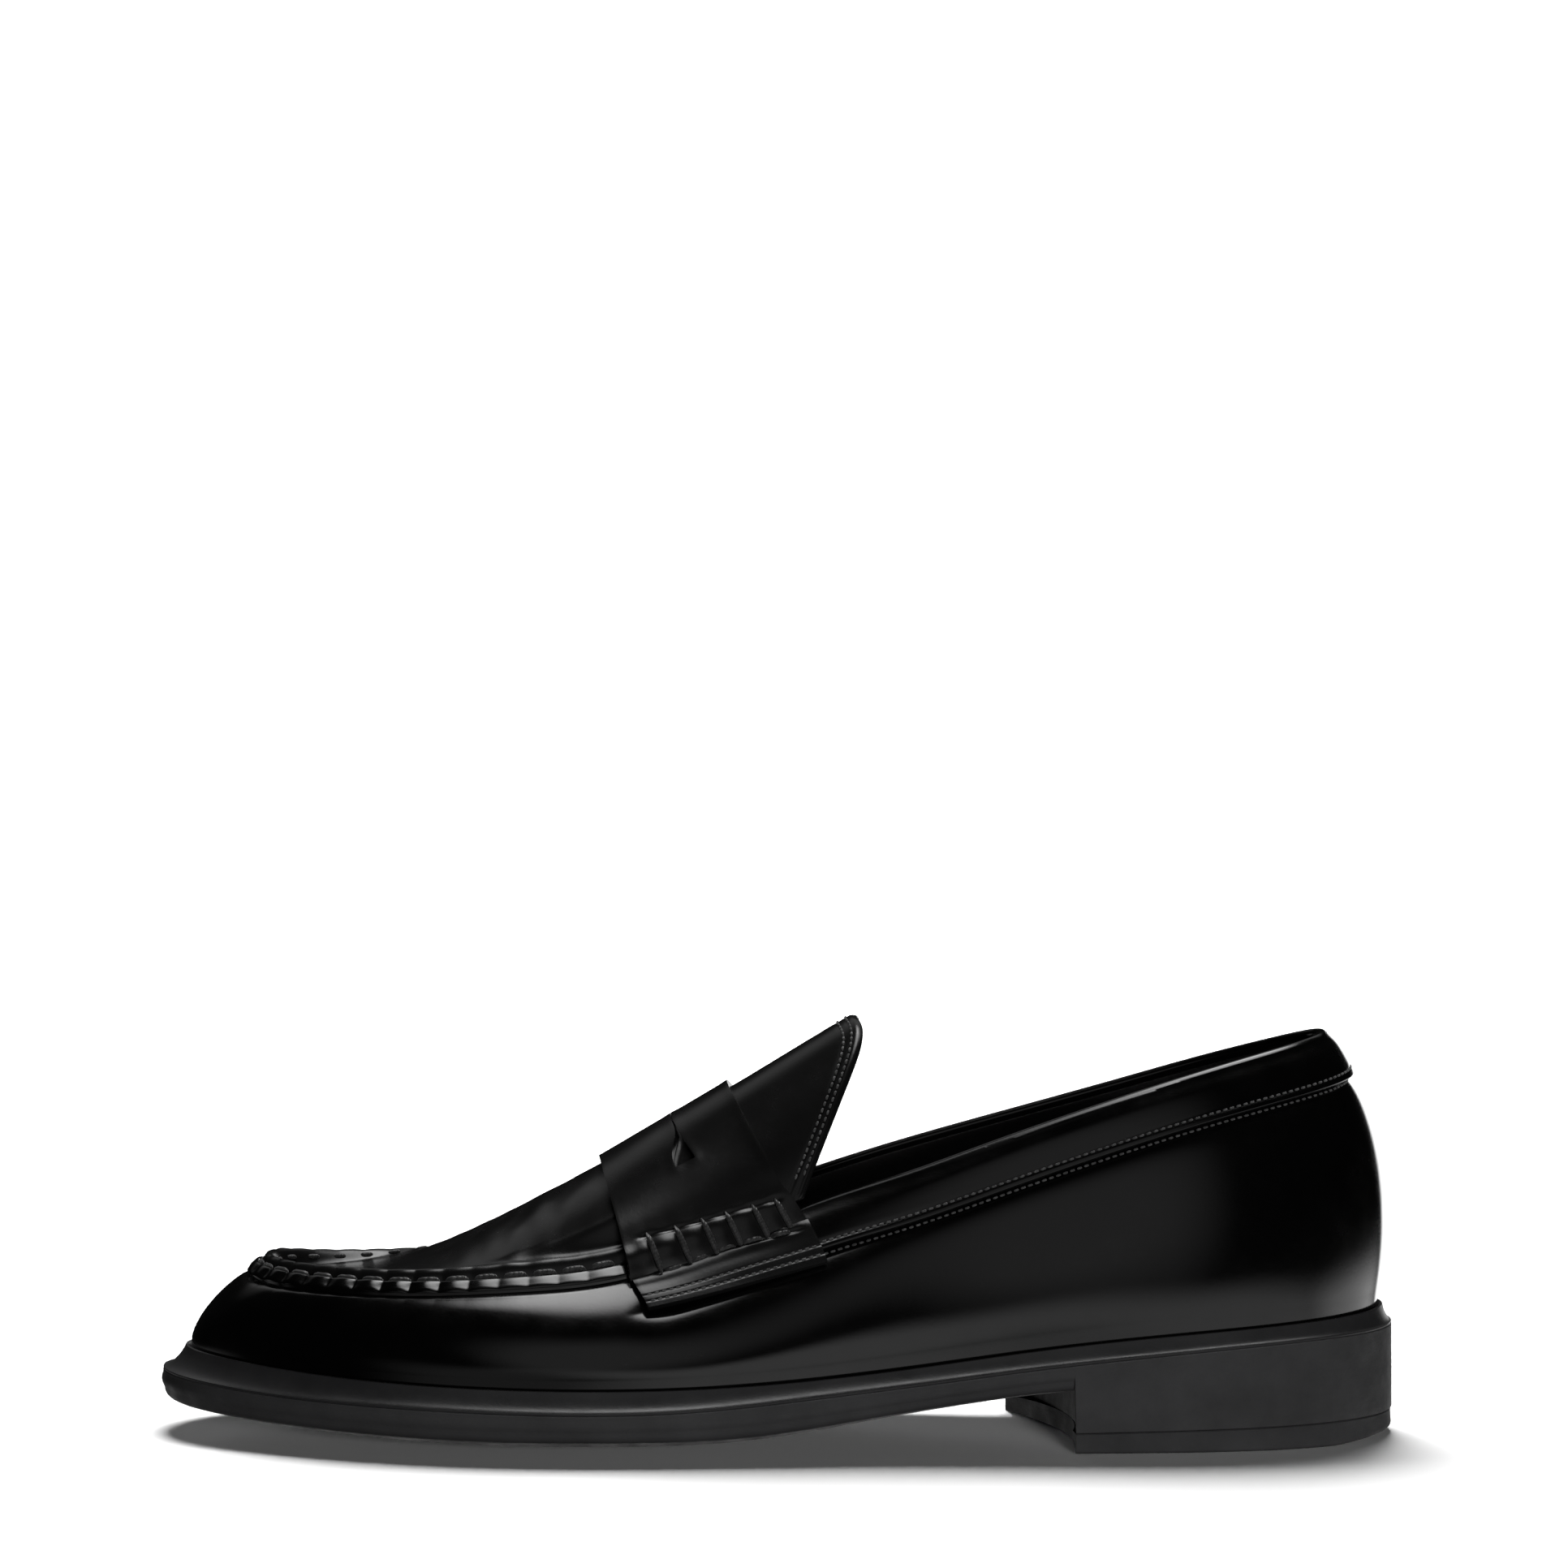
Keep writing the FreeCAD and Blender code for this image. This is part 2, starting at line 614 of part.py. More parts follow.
# The strap crosses the top from one side of the wall to the other. At its front edge and
# at its rear edge: hem place s, hem height t, seam place s, cover row.
STRAP_FRONT = (8.68, 0.64, OUTER_STRAP_FRONT, INNER_STRAP_FRONT, 21.32, STRAP_FRONT_ROW)
STRAP_REAR = (6.90, 0.655, OUTER_STRAP_REAR + 0.12, INNER_STRAP_REAR - 0.12, 23.10, STRAP_REAR_ROW)


def strap_row(u, height):
    """A line of points across the strap, height above the upper: u 0 front edge, 1 rear edge."""
    hem, hem_t, seam, far_seam, far_hem, row = [p + (q - p) * u for p, q in zip(STRAP_FRONT, STRAP_REAR)]
    side = []
    far = []
    for k in steps(0.0, 1.0, 7):
        t = hem_t + (0.95 - hem_t) * k
        side.append(wall(hem + (seam - hem) * k, t, -height))
        far.append(wall(far_hem + (far_seam - far_hem) * k, t, -height))
    top = [cover(row, v, -height) for v in steps(-0.86, 0.86, 17)]
    rise = 1.3 - 0.5 * u
    crest = plus([(p + q) / 2 for p, q in zip(side[-1], top[0])], [0, 0.8, 0.6], rise)
    far_crest = plus([(p + q) / 2 for p, q in zip(far[-1], top[-1])], [0, -0.8, 0.6], rise)
    return side + [crest] + top + [far_crest] + far[::-1]


def make_saddle_strap():
    us = steps(0.0, 1.0, 13)
    top = STRAP_LIFT + STRAP_LEATHER
    body = sheet([strap_row(u, top) for u in us], [strap_row(u, STRAP_LIFT) for u in us])
    return only_solid(body.cut(penny_slot_cutter()))


def collar_base(s):
    """The t of the collar's lower edge, a fixed depth below the top edge."""
    top = wall_face(s, 1.0)
    low = 0.5
    high = 1.0
    for _ in range(24):
        middle = (low + high) / 2
        if math.dist(wall_face(s, middle), top) > COLLAR_DEPTH:
            low = middle
        else:
            high = middle
    return low


def around_heel(start, end):
    """Places from one side to the other by way of the back seam."""
    return round_places(start, end + AROUND)


def make_collar_band():
    places = around_heel(INNER_STRAP_REAR + 0.07, OUTER_STRAP_REAR - 0.07)
    gap = LAYER_GAP / 2
    return wall_sheet(places, lambda s: (collar_base(s), 1.0),
                      lambda s, t: -gap - COLLAR_LEATHER, lambda s, t: -gap)


COUNTER_REACH = 3.2


def counter_heights(s):
    """The heel counter is highest at the back and lower towards its wings."""
    from_back = abs((s + AROUND / 2) % AROUND - AROUND / 2)
    return 0.04, 0.62 - 0.2 * from_back / COUNTER_REACH


def make_heel_counter():
    depth = UPPER_LEATHER + LAYER_GAP
    return wall_sheet(around_heel(AROUND - COUNTER_REACH, COUNTER_REACH), counter_heights,
                      lambda s, t: depth, lambda s, t: depth + STIFFENER)


def make_toe_puff():
    depth = UPPER_LEATHER + LAYER_GAP
    return wall_sheet(round_places(12.75, 17.25), lambda s: (0.05, 0.85),
                      lambda s, t: depth, lambda s, t: depth + STIFFENER)


def lining_depth(s, t):
    return UPPER_LEATHER + LAYER_GAP + (STIFFENER + LAYER_GAP) * stiffened(s)


def make_quarter_lining(start, end):
    return wall_sheet(round_places(start, end), lambda s: (0.02, 0.99),
                      lining_depth, lambda s, t: lining_depth(s, t) + LINING)


def make_vamp_lining():
    return wall_sheet(round_places(9.0, 21.0), lambda s: (0.02, 0.96),
                      lining_depth, lambda s, t: lining_depth(s, t) + LINING)


def make_heel_grip():
    places = around_heel(AROUND - 2.5, 2.5)
    depth = UPPER_LEATHER + LINING + STIFFENER + 3 * LAYER_GAP
    return wall_sheet(places, lambda s: (0.2, 0.9), lambda s, t: depth, lambda s, t: depth + LINING)


# ---------------------------------------------------------------- tongue
# How far inside the tongue's rim its two rows of stitches lie, in cover rows.
TONGUE_ROWS = (0.14, 0.27)
# The free rim of the tongue: cover row reached at each v away from the middle.
TONGUE_RIM = Curve([(0.0, 12.04), (0.12, 12.05), (0.22, 12.04), (0.35, 11.92), (0.5, 11.60), (0.65, 11.16),
                    (0.8, 10.66), (0.9, 10.35)], by_x=True)


def tongue_sheet(inset, outside, inside, v_reach=0.8):
    """The free tongue behind the strap, its rim moved in by inset rows."""
    outer = []
    inner = []
    for v in steps(-v_reach, v_reach, 25):
        rim = TONGUE_RIM(abs(v))[0] - inset
        us = steps(STRAP_REAR_ROW + 0.06, rim, 15)
        outer.append([cover(u, v, outside) for u in us])
        inner.append([cover(u, v, inside) for u in us])
    return sheet(inner, outer)


def make_tongue_flap():
    return tongue_sheet(0.0, 0.0, UPPER_LEATHER)


def make_tongue_lining():
    low = UPPER_LEATHER + 0.1
    return tongue_sheet(0.03, low, low + LINING, 0.78)


def make_tongue_base():
    return cover_sheet(PLUG_END_ROW + 0.06, STRAP_REAR_ROW + 0.02, 0.84, 0.0, UPPER_LEATHER, 9)


# ---------------------------------------------------------------- penny slot
# Half of the slot through the strap: v away from the middle, then its front and rear edge
# as shares of the strap's width. A notch in the middle, a narrow waist and a wide end.
PENNY_SLOT = Curve([(0.0, 0.530, 0.592), (0.13, 0.535, 0.588), (0.31, 0.537, 0.583), (0.44, 0.480, 0.592),
                    (0.53, 0.470, 0.605)], by_x=True)
PENNY_SLOT_REACH = 0.53


def strap_cover(u, v, height):
    """A point above the forepart's top, at share u of the strap's width."""
    return cover(STRAP_FRONT_ROW + (STRAP_REAR_ROW - STRAP_FRONT_ROW) * u, v, -height)


def slot_face(height):
    grid = []
    for v in steps(-PENNY_SLOT_REACH, PENNY_SLOT_REACH, 33):
        front, rear = PENNY_SLOT(abs(v))
        grid.append([strap_cover(u, v, height) for u in steps(front, rear, 5)])
    return grid


def penny_slot_cutter():
    """A solid of the slot's shape, standing through the strap."""
    return sheet(slot_face(7.0), slot_face(-3.0))


# ---------------------------------------------------------------- threads
def make_apron_seam_thread():
    """The coarse thread that is whipped over the roll, as one cord along its crest."""
    points = []
    for s in steps(OUTER_STRAP_FRONT + 0.35, INNER_STRAP_FRONT - 0.35, 50):
        crest = plus(wall(s, 1.0), outward(s), -0.55 * ROLL_HEIGHT)
        points.append(plus(crest, [0, 0, 1], ROLL_HEIGHT + COARSE_THREAD / 2 + 0.15))
    return tube(points, COARSE_THREAD / 2)


def strap_point(u, k, height, mirror):
    """A point above the strap at place k of its row, counted from the other side if mirrored."""
    row = strap_row(u, height)
    if mirror:
        row = row[::-1]
    i = int(k)
    return [p + (q - p) * (k - i) for p, q in zip(row[i], row[i + 1])]


LADDER_BARS = 6
LADDER_FROM = 0.17
LADDER_TO = 0.905
HEM_ROWS = (1.2, 2.2)
STRAP_TOP = STRAP_LIFT + STRAP_LEATHER + THREAD / 2


def make_ladder(mirror):
    """Short thread bars that tie the strap's side down over the seam."""
    bars = []
    height = STRAP_TOP + 0.3
    for u in steps(LADDER_FROM, LADDER_TO, LADDER_BARS):
        low = 6.0 - 1.9 * (u - LADDER_FROM)
        high = 8.2 - 1.2 * (u - LADDER_FROM)
        bars.append(tube([strap_point(u, k, height, mirror) for k in steps(low, high, 3)], THREAD / 2))
    return Part.makeCompound(bars)


def make_hem_rows(mirror):
    """Two rows of stitches along the strap's lower edge."""
    height = STRAP_TOP + THREAD_LIFT
    rows = []
    for k in HEM_ROWS:
        rows.append(tube([strap_point(u, k, height, mirror) for u in steps(0.04, 0.96, 13)], THREAD / 2))
    return Part.makeCompound(rows)


def make_collar_rows():
    """One row of stitches on the collar band and one just below it."""
    rows = []
    for rise, height in ((1.4, COLLAR_LEATHER + 0.1), (-0.9, 0.0)):
        points = []
        for s in steps(INNER_STRAP_REAR + 0.15, AROUND + OUTER_STRAP_REAR - 0.15, 40):
            base = collar_base(s)
            step = rise / (last_round(s)[4] - feather_height(last_round(s)[0])[0])
            points.append(wall(s, base + step, -height - THREAD / 2 - 0.08))
        rows.append(tube(points, THREAD / 2))
    return Part.makeCompound(rows)


def make_tongue_rows():
    """Two rows of stitches inside the tongue's rim."""
    rows = []
    for inset in TONGUE_ROWS:
        points = []
        for v in steps(-0.72, 0.72, 21):
            rim = TONGUE_RIM(abs(v))[0] - inset
            points.append(cover(rim, v, -THREAD / 2 - 0.08))
        rows.append(tube(points, THREAD / 2))
    return Part.makeCompound(rows)


# ---------------------------------------------------------------- fixings inside
def make_heel_nails():
    """Nails driven through the insole board into the heel."""
    nails = []
    for x, y in NAIL_PLACES:
        base = bed(2 * BED_GAP + INSOLE)(x, y) - NAIL_LENGTH
        nails.append(Part.makeCylinder(NAIL_RADIUS, NAIL_LENGTH, FreeCAD.Vector(x, y, base)))
    return Part.makeCompound(nails)


def make_shank_rivets():
    """Rivets that hold the shank to the insole board."""
    rivets = []
    for x in RIVET_PLACES:
        foot = FreeCAD.Vector(x, shank_middle(x), shank_base(x) - BED_GAP)
        rivets.append(Part.makeCylinder(RIVET_RADIUS, RIVET_LENGTH, foot))
    return Part.makeCompound(rivets)


PARTS = {
    "outsole_unit": make_outsole_unit,
    "top_lift": make_top_lift,
    "welt": make_welt,
    "bottom_filler": make_bottom_filler,
    "insole_board": make_insole_board,
    "heel_pad": make_heel_pad,
    "sock_liner": make_sock_liner,
    "shank": make_shank,
    "shank_rivets": make_shank_rivets,
    "heel_nails": make_heel_nails,
    "skirt": make_skirt,
    "apron_plug": make_apron_plug,
    "apron_lining": make_apron_lining,
    "vamp_lining": make_vamp_lining,
    "quarter_lining_outer": lambda: make_quarter_lining(0.05, 8.95),
    "quarter_lining_inner": lambda: make_quarter_lining(21.05, 29.95),
    "heel_counter": make_heel_counter,
    "toe_puff": make_toe_puff,
    "heel_grip": make_heel_grip,
    "collar_band": make_collar_band,
    "saddle_strap": make_saddle_strap,
    "tongue_base": make_tongue_base,
    "tongue_flap": make_tongue_flap,
    "tongue_lining": make_tongue_lining,
    "apron_seam_thread": make_apron_seam_thread,
    "ladder_stitches_outer": lambda: make_ladder(False),
    "ladder_stitches_inner": lambda: make_ladder(True),
    "strap_hem_stitches_outer": lambda: make_hem_rows(False),
    "strap_hem_stitches_inner": lambda: make_hem_rows(True),
    "collar_stitches": make_collar_rows,
    "tongue_stitches": make_tongue_rows,
}

if __name__ == "__main__":
    os.makedirs("parts", exist_ok=True)
    for name, make in PARTS.items():
        shape = make()
        shape.exportStep("parts/" + name + ".step")
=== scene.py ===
import math

import bmesh
import bpy
import numpy as np
from mathutils import Matrix, Vector


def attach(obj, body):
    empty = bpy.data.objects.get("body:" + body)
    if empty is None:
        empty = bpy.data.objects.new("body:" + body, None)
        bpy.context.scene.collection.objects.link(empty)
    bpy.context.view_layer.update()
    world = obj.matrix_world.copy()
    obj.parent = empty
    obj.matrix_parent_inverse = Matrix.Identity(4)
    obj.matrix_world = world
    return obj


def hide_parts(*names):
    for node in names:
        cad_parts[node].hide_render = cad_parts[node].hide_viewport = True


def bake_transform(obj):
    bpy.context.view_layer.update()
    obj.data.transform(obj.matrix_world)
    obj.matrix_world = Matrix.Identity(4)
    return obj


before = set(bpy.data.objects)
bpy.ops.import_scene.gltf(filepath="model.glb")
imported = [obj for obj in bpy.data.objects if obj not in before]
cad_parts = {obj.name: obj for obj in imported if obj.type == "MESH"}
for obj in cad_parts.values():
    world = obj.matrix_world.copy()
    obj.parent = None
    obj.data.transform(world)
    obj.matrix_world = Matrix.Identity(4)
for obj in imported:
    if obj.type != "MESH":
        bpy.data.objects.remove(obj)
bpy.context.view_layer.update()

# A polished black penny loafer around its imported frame. The shape tables are in
# millimetres, as a shoemaker would write them, and MM turns them into metres where a mesh
# is made. +X is the toe, +Y the outer side of this left shoe, +Z up.
MM = 0.001

# ---------------------------------------------------------------- driving sizes
UPPER_LEATHER = 1.4
STRAP_LEATHER = 1.6
STRAP_LIFT = 0.2
COLLAR_LEATHER = 1.0
COLLAR_DEPTH = 11.0
COLLAR_STITCH_RISE = 1.4
LINING = 0.8
FINE_THREAD = 0.55
FINE_PITCH = 1.7
COARSE_THREAD = 1.5
COARSE_PITCH = 6.6
THREAD_INSET = 3.1
PLUG_INSET = 3.4
LASTING_DROP = 1.5
WELT_LIP = 1.3
SOCK_LOW = 2.3
SOCK_THICKNESS = 1.2
PAD_THICKNESS = 1.6
# The top lift: its height at the breast and at the back, and its turned-up back end.
LIFT_FRONT_TOP = 4.5
LIFT_BACK_TOP = 5.8
LIFT_TURN_FROM = -126.0
LIFT_TURN_SLOPE = 0.1

# Once round the upper from the back of the heel along the outer side: feather edge x, y |
# top edge x, y, z | swell out, up near the feather edge | swell out, down near the top edge.
ROUND = [
    (-138.2, 0.5, -125.4, 0.5, 92.0, 2.9, 20.0, 15.2, 20.0),
    (-134.0, 14.0, -121.8, 9.8, 91.2, 2.8, 19.0, 13.0, 20.0),
    (-120.5, 25.5, -111.0, 17.0, 88.8, 2.6, 18.0, 10.0, 20.0),
    (-100.0, 31.5, -95.0, 22.0, 84.8, 2.8, 17.0, 9.0, 20.0),
    (-76.0, 33.0, -73.5, 25.0, 78.4, 3.4, 16.0, 7.5, 19.0),
    (-50.0, 33.5, -49.0, 26.5, 70.2, 4.2, 15.0, 6.5, 17.0),
    (-25.0, 36.0, -26.0, 27.8, 62.2, 4.6, 14.0, 7.0, 14.0),
    (-2.0, 40.5, -5.5, 28.5, 55.6, 4.2, 12.0, 8.0, 12.0),
    (20.0, 44.5, 17.0, 31.0, 47.0, 3.2, 10.0, 8.0, 9.0),
    (42.0, 46.0, 40.0, 34.5, 40.0, 2.4, 8.5, 8.0, 6.5),
    (64.0, 44.0, 62.0, 34.5, 37.6, 2.0, 7.5, 7.5, 5.0),
    (85.0, 38.0, 81.0, 31.5, 36.4, 1.6, 7.0, 6.0, 4.2),
    (104.0, 28.5, 97.5, 25.5, 36.0, 1.0, 6.5, 5.2, 3.6),
    (120.0, 16.5, 111.5, 15.5, 36.0, 0.4, 6.0, 5.0, 3.2),
    (131.0, 4.0, 119.5, 4.5, 36.2, 0.0, 5.5, 5.0, 3.2),
    (134.5, -8.5, 121.8, -7.5, 36.4, -0.2, 5.5, 5.0, 3.2),
    (130.5, -21.0, 118.5, -18.5, 36.4, 0.0, 5.5, 5.0, 3.2),
    (119.5, -31.5, 109.5, -26.5, 35.9, 0.4, 6.0, 5.0, 3.2),
    (102.5, -39.5, 94.5, -32.0, 35.6, 1.2, 6.5, 5.6, 4.0),
    (82.0, -44.5, 76.5, -35.0, 36.0, 1.6, 7.0, 6.8, 4.8),
    (60.0, -46.0, 56.0, -35.5, 37.4, 2.0, 8.0, 7.5, 5.6),
    (38.0, -43.5, 36.0, -33.5, 41.0, 2.6, 10.0, 7.5, 7.5),
    (16.0, -38.0, 14.5, -29.5, 48.0, 3.6, 12.0, 7.0, 10.0),
    (-8.0, -32.5, -8.0, -26.5, 56.4, 4.6, 14.0, 6.5, 13.0),
    (-32.0, -29.0, -31.0, -25.5, 63.8, 5.2, 15.5, 6.5, 16.0),
    (-57.0, -27.5, -54.5, -24.0, 70.6, 4.8, 16.5, 7.0, 18.0),
    (-82.0, -28.5, -78.0, -22.0, 77.4, 4.0, 17.5, 8.0, 19.0),
    (-105.0, -28.0, -99.0, -18.6, 83.8, 3.2, 18.0, 9.0, 20.0),
    (-124.0, -20.5, -114.2, -13.2, 88.4, 2.4, 18.5, 10.5, 20.0),
    (-135.0, -10.5, -122.8, -6.4, 91.2, 2.8, 19.5, 13.4, 20.0),
]
AROUND = len(ROUND)
OUTER_STRAP_REAR, OUTER_STRAP_FRONT = 7.0, 8.87
INNER_STRAP_FRONT, INNER_STRAP_REAR = 21.13, 23.0

# Rows of the forepart's top, from the toe back: middle x, z | outer edge x, y, z | inner
# edge x, y, z | arch in degrees.
COVER = [
    (134.0, 36.6, 134.0, 36.0, 36.6, 134.0, -46.0, 36.6, 30.0),
    (120.0, 37.0, 120.0, 36.0, 36.6, 120.0, -44.0, 36.8, 30.0),
    (107.0, 37.3, 107.0, 36.0, 36.6, 107.0, -42.0, 36.9, 32.0),
    (95.0, 38.0, 95.0, 36.0, 36.8, 95.0, -40.5, 37.0, 36.0),
    (85.0, 40.4, 84.5, 36.5, 37.0, 84.0, -39.5, 37.2, 42.0),
    (74.7, 44.2, 73.5, 37.0, 37.4, 72.5, -39.5, 37.8, 48.0),
    (63.5, 49.5, 61.5, 37.5, 38.0, 60.0, -39.0, 38.8, 54.0),
    (52.4, 55.5, 49.0, 37.5, 39.0, 47.5, -38.0, 40.2, 60.0),
    (40.8, 61.9, 37.0, 36.3, 41.2, 35.0, -36.0, 42.6, 66.0),
    (26.4, 70.6, 18.0, 33.0, 46.9, 15.0, -32.5, 48.7, 70.0),
    (11.6, 79.4, -1.0, 30.2, 54.4, -4.0, -29.4, 56.4, 72.0),
    (-2.0, 87.8, -16.0, 29.2, 60.5, -18.0, -28.8, 62.4, 70.0),
    (-16.0, 96.2, -31.0, 28.6, 67.0, -33.0, -28.4, 68.6, 68.0),
]
STRAP_FRONT_ROW = 8.0
STRAP_REAR_ROW = 10.0

FEATHER_HEIGHT = [(-138, 29.4), (-110, 27.7), (-80, 25.4), (-55, 22.7), (-30, 19.6), (0, 17.0),
                  (30, 15.9), (65, 15.9), (95, 16.6), (120, 18.0), (135, 19.2)]
RIDGE_HEIGHT = [(-141, 25.4), (-116, 24.5), (-78, 21.5), (-56, 19.2), (-32, 16.4), (-3, 13.7),
                (26, 11.6), (70, 11.4), (96, 11.9), (123, 12.8), (140, 14.0)]
TREAD_HEIGHT = [(-90, 12.6), (-62, 12.2), (-40, 9.6), (-15, 5.6), (10, 1.6), (32, 0.2), (45, 0.0),
                (65, 0.3), (90, 2.0), (115, 4.6), (140, 7.2)]
TREAD_CAMBER = 3.2
SOLE_REACH = [3.5, 3.4, 3.3, 3.3, 3.5, 3.8, 4.0, 4.2, 4.4, 4.6, 4.8, 5.2, 5.8, 6.2, 6.5,
              6.5, 6.4, 6.2, 5.6, 5.0, 4.6, 4.4, 4.2, 4.0, 3.8, 3.5, 3.4, 3.3, 3.3, 3.4]
# The heel's breast: its outer and inner end as round places, and how far its middle bows back.
BREAST_OUTER, BREAST_INNER = 4.45, 24.96
BREAST_BOW = -5.2


# ---------------------------------------------------------------- curves
class Curve:
    """A smooth curve through rows of numbers, at 0, 1, 2 ... or at their first column."""

    def __init__(self, rows, closed=False, by_x=False):
        rows = np.array(rows, float)
        if rows.ndim == 1:
            rows = rows[:, None]
        self.period = len(rows) if closed else 0
        if closed:
            rows = np.concatenate([rows[-6:], rows, rows[:7]])
        self.x = rows[:, 0] if by_x else np.arange(len(rows)) - (6.0 if closed else 0.0)
        self.y = rows[:, 1:] if by_x else rows
        step = np.diff(self.x)
        count = len(self.x)
        matrix = np.eye(count)
        kink = np.zeros_like(self.y)
        for i in range(1, count - 1):
            matrix[i, i - 1:i + 2] = step[i - 1], 2 * (step[i - 1] + step[i]), step[i]
            slope = np.diff(self.y[i - 1:i + 2], axis=0) / step[i - 1:i + 1, None]
            kink[i] = 6 * (slope[1] - slope[0])
        self.bend = np.linalg.solve(matrix, kink)

    def __call__(self, at):
        at = np.asarray(at, float)
        if self.period:
            at = at % self.period
        i = np.clip(np.searchsorted(self.x, at, side="right") - 1, 0, len(self.x) - 2)
        step = (self.x[i + 1] - self.x[i])[..., None]
        b = (at - self.x[i])[..., None] / step
        a = 1 - b
        inside = (b >= 0) & (b <= 1)
        curved = ((a ** 3 - a) * self.bend[i] + (b ** 3 - b) * self.bend[i + 1]) * step ** 2 / 6
        return a * self.y[i] + b * self.y[i + 1] + np.where(inside, curved, 0)


def ease(start, end, value):
    """0 before the start, 1 after the end, and smooth between them."""
    part = np.clip((np.asarray(value, float) - start) / (end - start), 0, 1)
    return part * part * (3 - 2 * part)


def bump(centre, width, value):
    """1 at the centre and falling smoothly to nothing a few widths away."""
    return np.exp(-((np.asarray(value, float) - centre) / width) ** 2)


def crowded(count, power, start=0.0):
    """Shares from start to 1 that lie closer together towards 1."""
    return 1 - (1 - np.linspace(start, 1, count)) ** power


def unit(a):
    return a / np.maximum(np.linalg.norm(a, axis=-1, keepdims=True), 1e-12)


def mix(a, b, share):
    """From a at share 0 to b at share 1."""
    return a + (b - a) * share


def fill_between(first, last, count):
    """Rows of points that run straight from one point to another, without their ends."""
    share = np.linspace(0, 1, count + 2)[1:-1]
    return mix(first[:, None], last[:, None], share[None, :, None])


def point(x, y, z):
    return np.stack(np.broadcast_arrays(x, y, z), axis=-1).astype(float)


def single(curve):
    """A curve of one number as a function."""
    return lambda at: curve(at)[..., 0]


UP = np.array([0.0, 0.0, 1.0])
last_round = Curve(ROUND, closed=True)
cover_rows = Curve(COVER)
sole_reach = single(Curve(SOLE_REACH, closed=True))
feather_height = single(Curve(FEATHER_HEIGHT, by_x=True))
ridge_height = single(Curve(RIDGE_HEIGHT, by_x=True))
tread_height = single(Curve(TREAD_HEIGHT, by_x=True))


def tread(x, y):
    """Height of the sole's lower face, which curves up towards its edges."""
    middle = -2.0 - 3.0 * ease(-20, 60, x)
    return tread_height(x) + TREAD_CAMBER * np.minimum(1.4, np.abs((y - middle) / 48.0)) ** 2.6


def lift_top(x):
    """Height of the line between the top lift and the heel."""
    return LIFT_FRONT_TOP + (LIFT_BACK_TOP - LIFT_FRONT_TOP) * (-60.0 - x) / 80.0


# ---------------------------------------------------------------- the shape of the last
def outward(s):
    """The level direction away from the shoe at round place s."""
    along = unit(last_round(s + 0.05)[..., :2] - last_round(s - 0.05)[..., :2])
    return point(-along[..., 1], along[..., 0], 0.0)


def feather(s, out=0.0, up=0.0):
    """A point beside the feather edge at round place s."""
    at = last_round(s)
    side = outward(s)
    x = at[..., 0] + side[..., 0] * out
    y = at[..., 1] + side[..., 1] * out
    return point(x, y, feather_height(x) + up)


def wall_face(s, t):
    """The outer face of the upper's wall: t is 0 at the feather edge and 1 at the top edge."""
    s, t = np.broadcast_arrays(np.asarray(s, float), np.asarray(t, float))
    row = last_round(s)
    side = outward(s)
    base = feather(s, 0.0, LASTING_DROP)
    top = row[..., 2:5]
    low = base + side * row[..., 5:6] + UP * row[..., 6:7]
    high = top + side * row[..., 7:8] - UP * row[..., 8:9]
    t = t[..., None]
    return (1 - t) ** 3 * base + 3 * t * (1 - t) ** 2 * low + 3 * t * t * (1 - t) * high + t ** 3 * top


def wall_normal(s, t):
    """The direction straight out of the wall's outer face."""
    t = np.asarray(t, float)
    along = wall_face(s + 0.04, t) - wall_face(s - 0.04, t)
    up = wall_face(s, np.minimum(1, t + 0.02)) - wall_face(s, np.maximum(0, t - 0.02))
    return -unit(np.cross(along, up))


def wall(s, t, height=0.0):
    """A point height above the outer face of the wall."""
    return wall_face(s, t) + wall_normal(s, t) * np.asarray(height, float)[..., None]


def top_edge(s):
    """The groove of the seam, or the top line at the mouth."""
    return wall_face(s, 1.0)


def cover_face(u, v):
    """The forepart's top: u counts its rows, v is -1 at the outer edge and 1 at the inner."""
    u, v = np.broadcast_arrays(np.asarray(u, float), np.asarray(v, float))
    row = cover_rows(u)
    arch = np.radians(row[..., 8:9])
    outer, inner = row[..., 2:5], row[..., 5:8]
    middle = point(row[..., 0], (row[..., 3] + row[..., 6]) / 2, row[..., 1])
    centre = (outer + inner) / 2
    v = v[..., None]
    across = np.sin(v * arch) / np.sin(arch)
    rise = (np.cos(v * arch) - np.cos(arch)) / (1 - np.cos(arch))
    return centre + (inner - outer) / 2 * across + (middle - centre) * rise


def cover_normal(u, v):
    """The direction straight up from the forepart's top."""
    along = cover_face(u - 0.04, v) - cover_face(u + 0.04, v)
    across = cover_face(u, v - 0.02) - cover_face(u, v + 0.02)
    return unit(np.cross(along, across))


def cover(u, v, height=0.0):
    """A point height above the forepart's top."""
    return cover_face(u, v) + cover_normal(u, v) * np.asarray(height, float)[..., None]


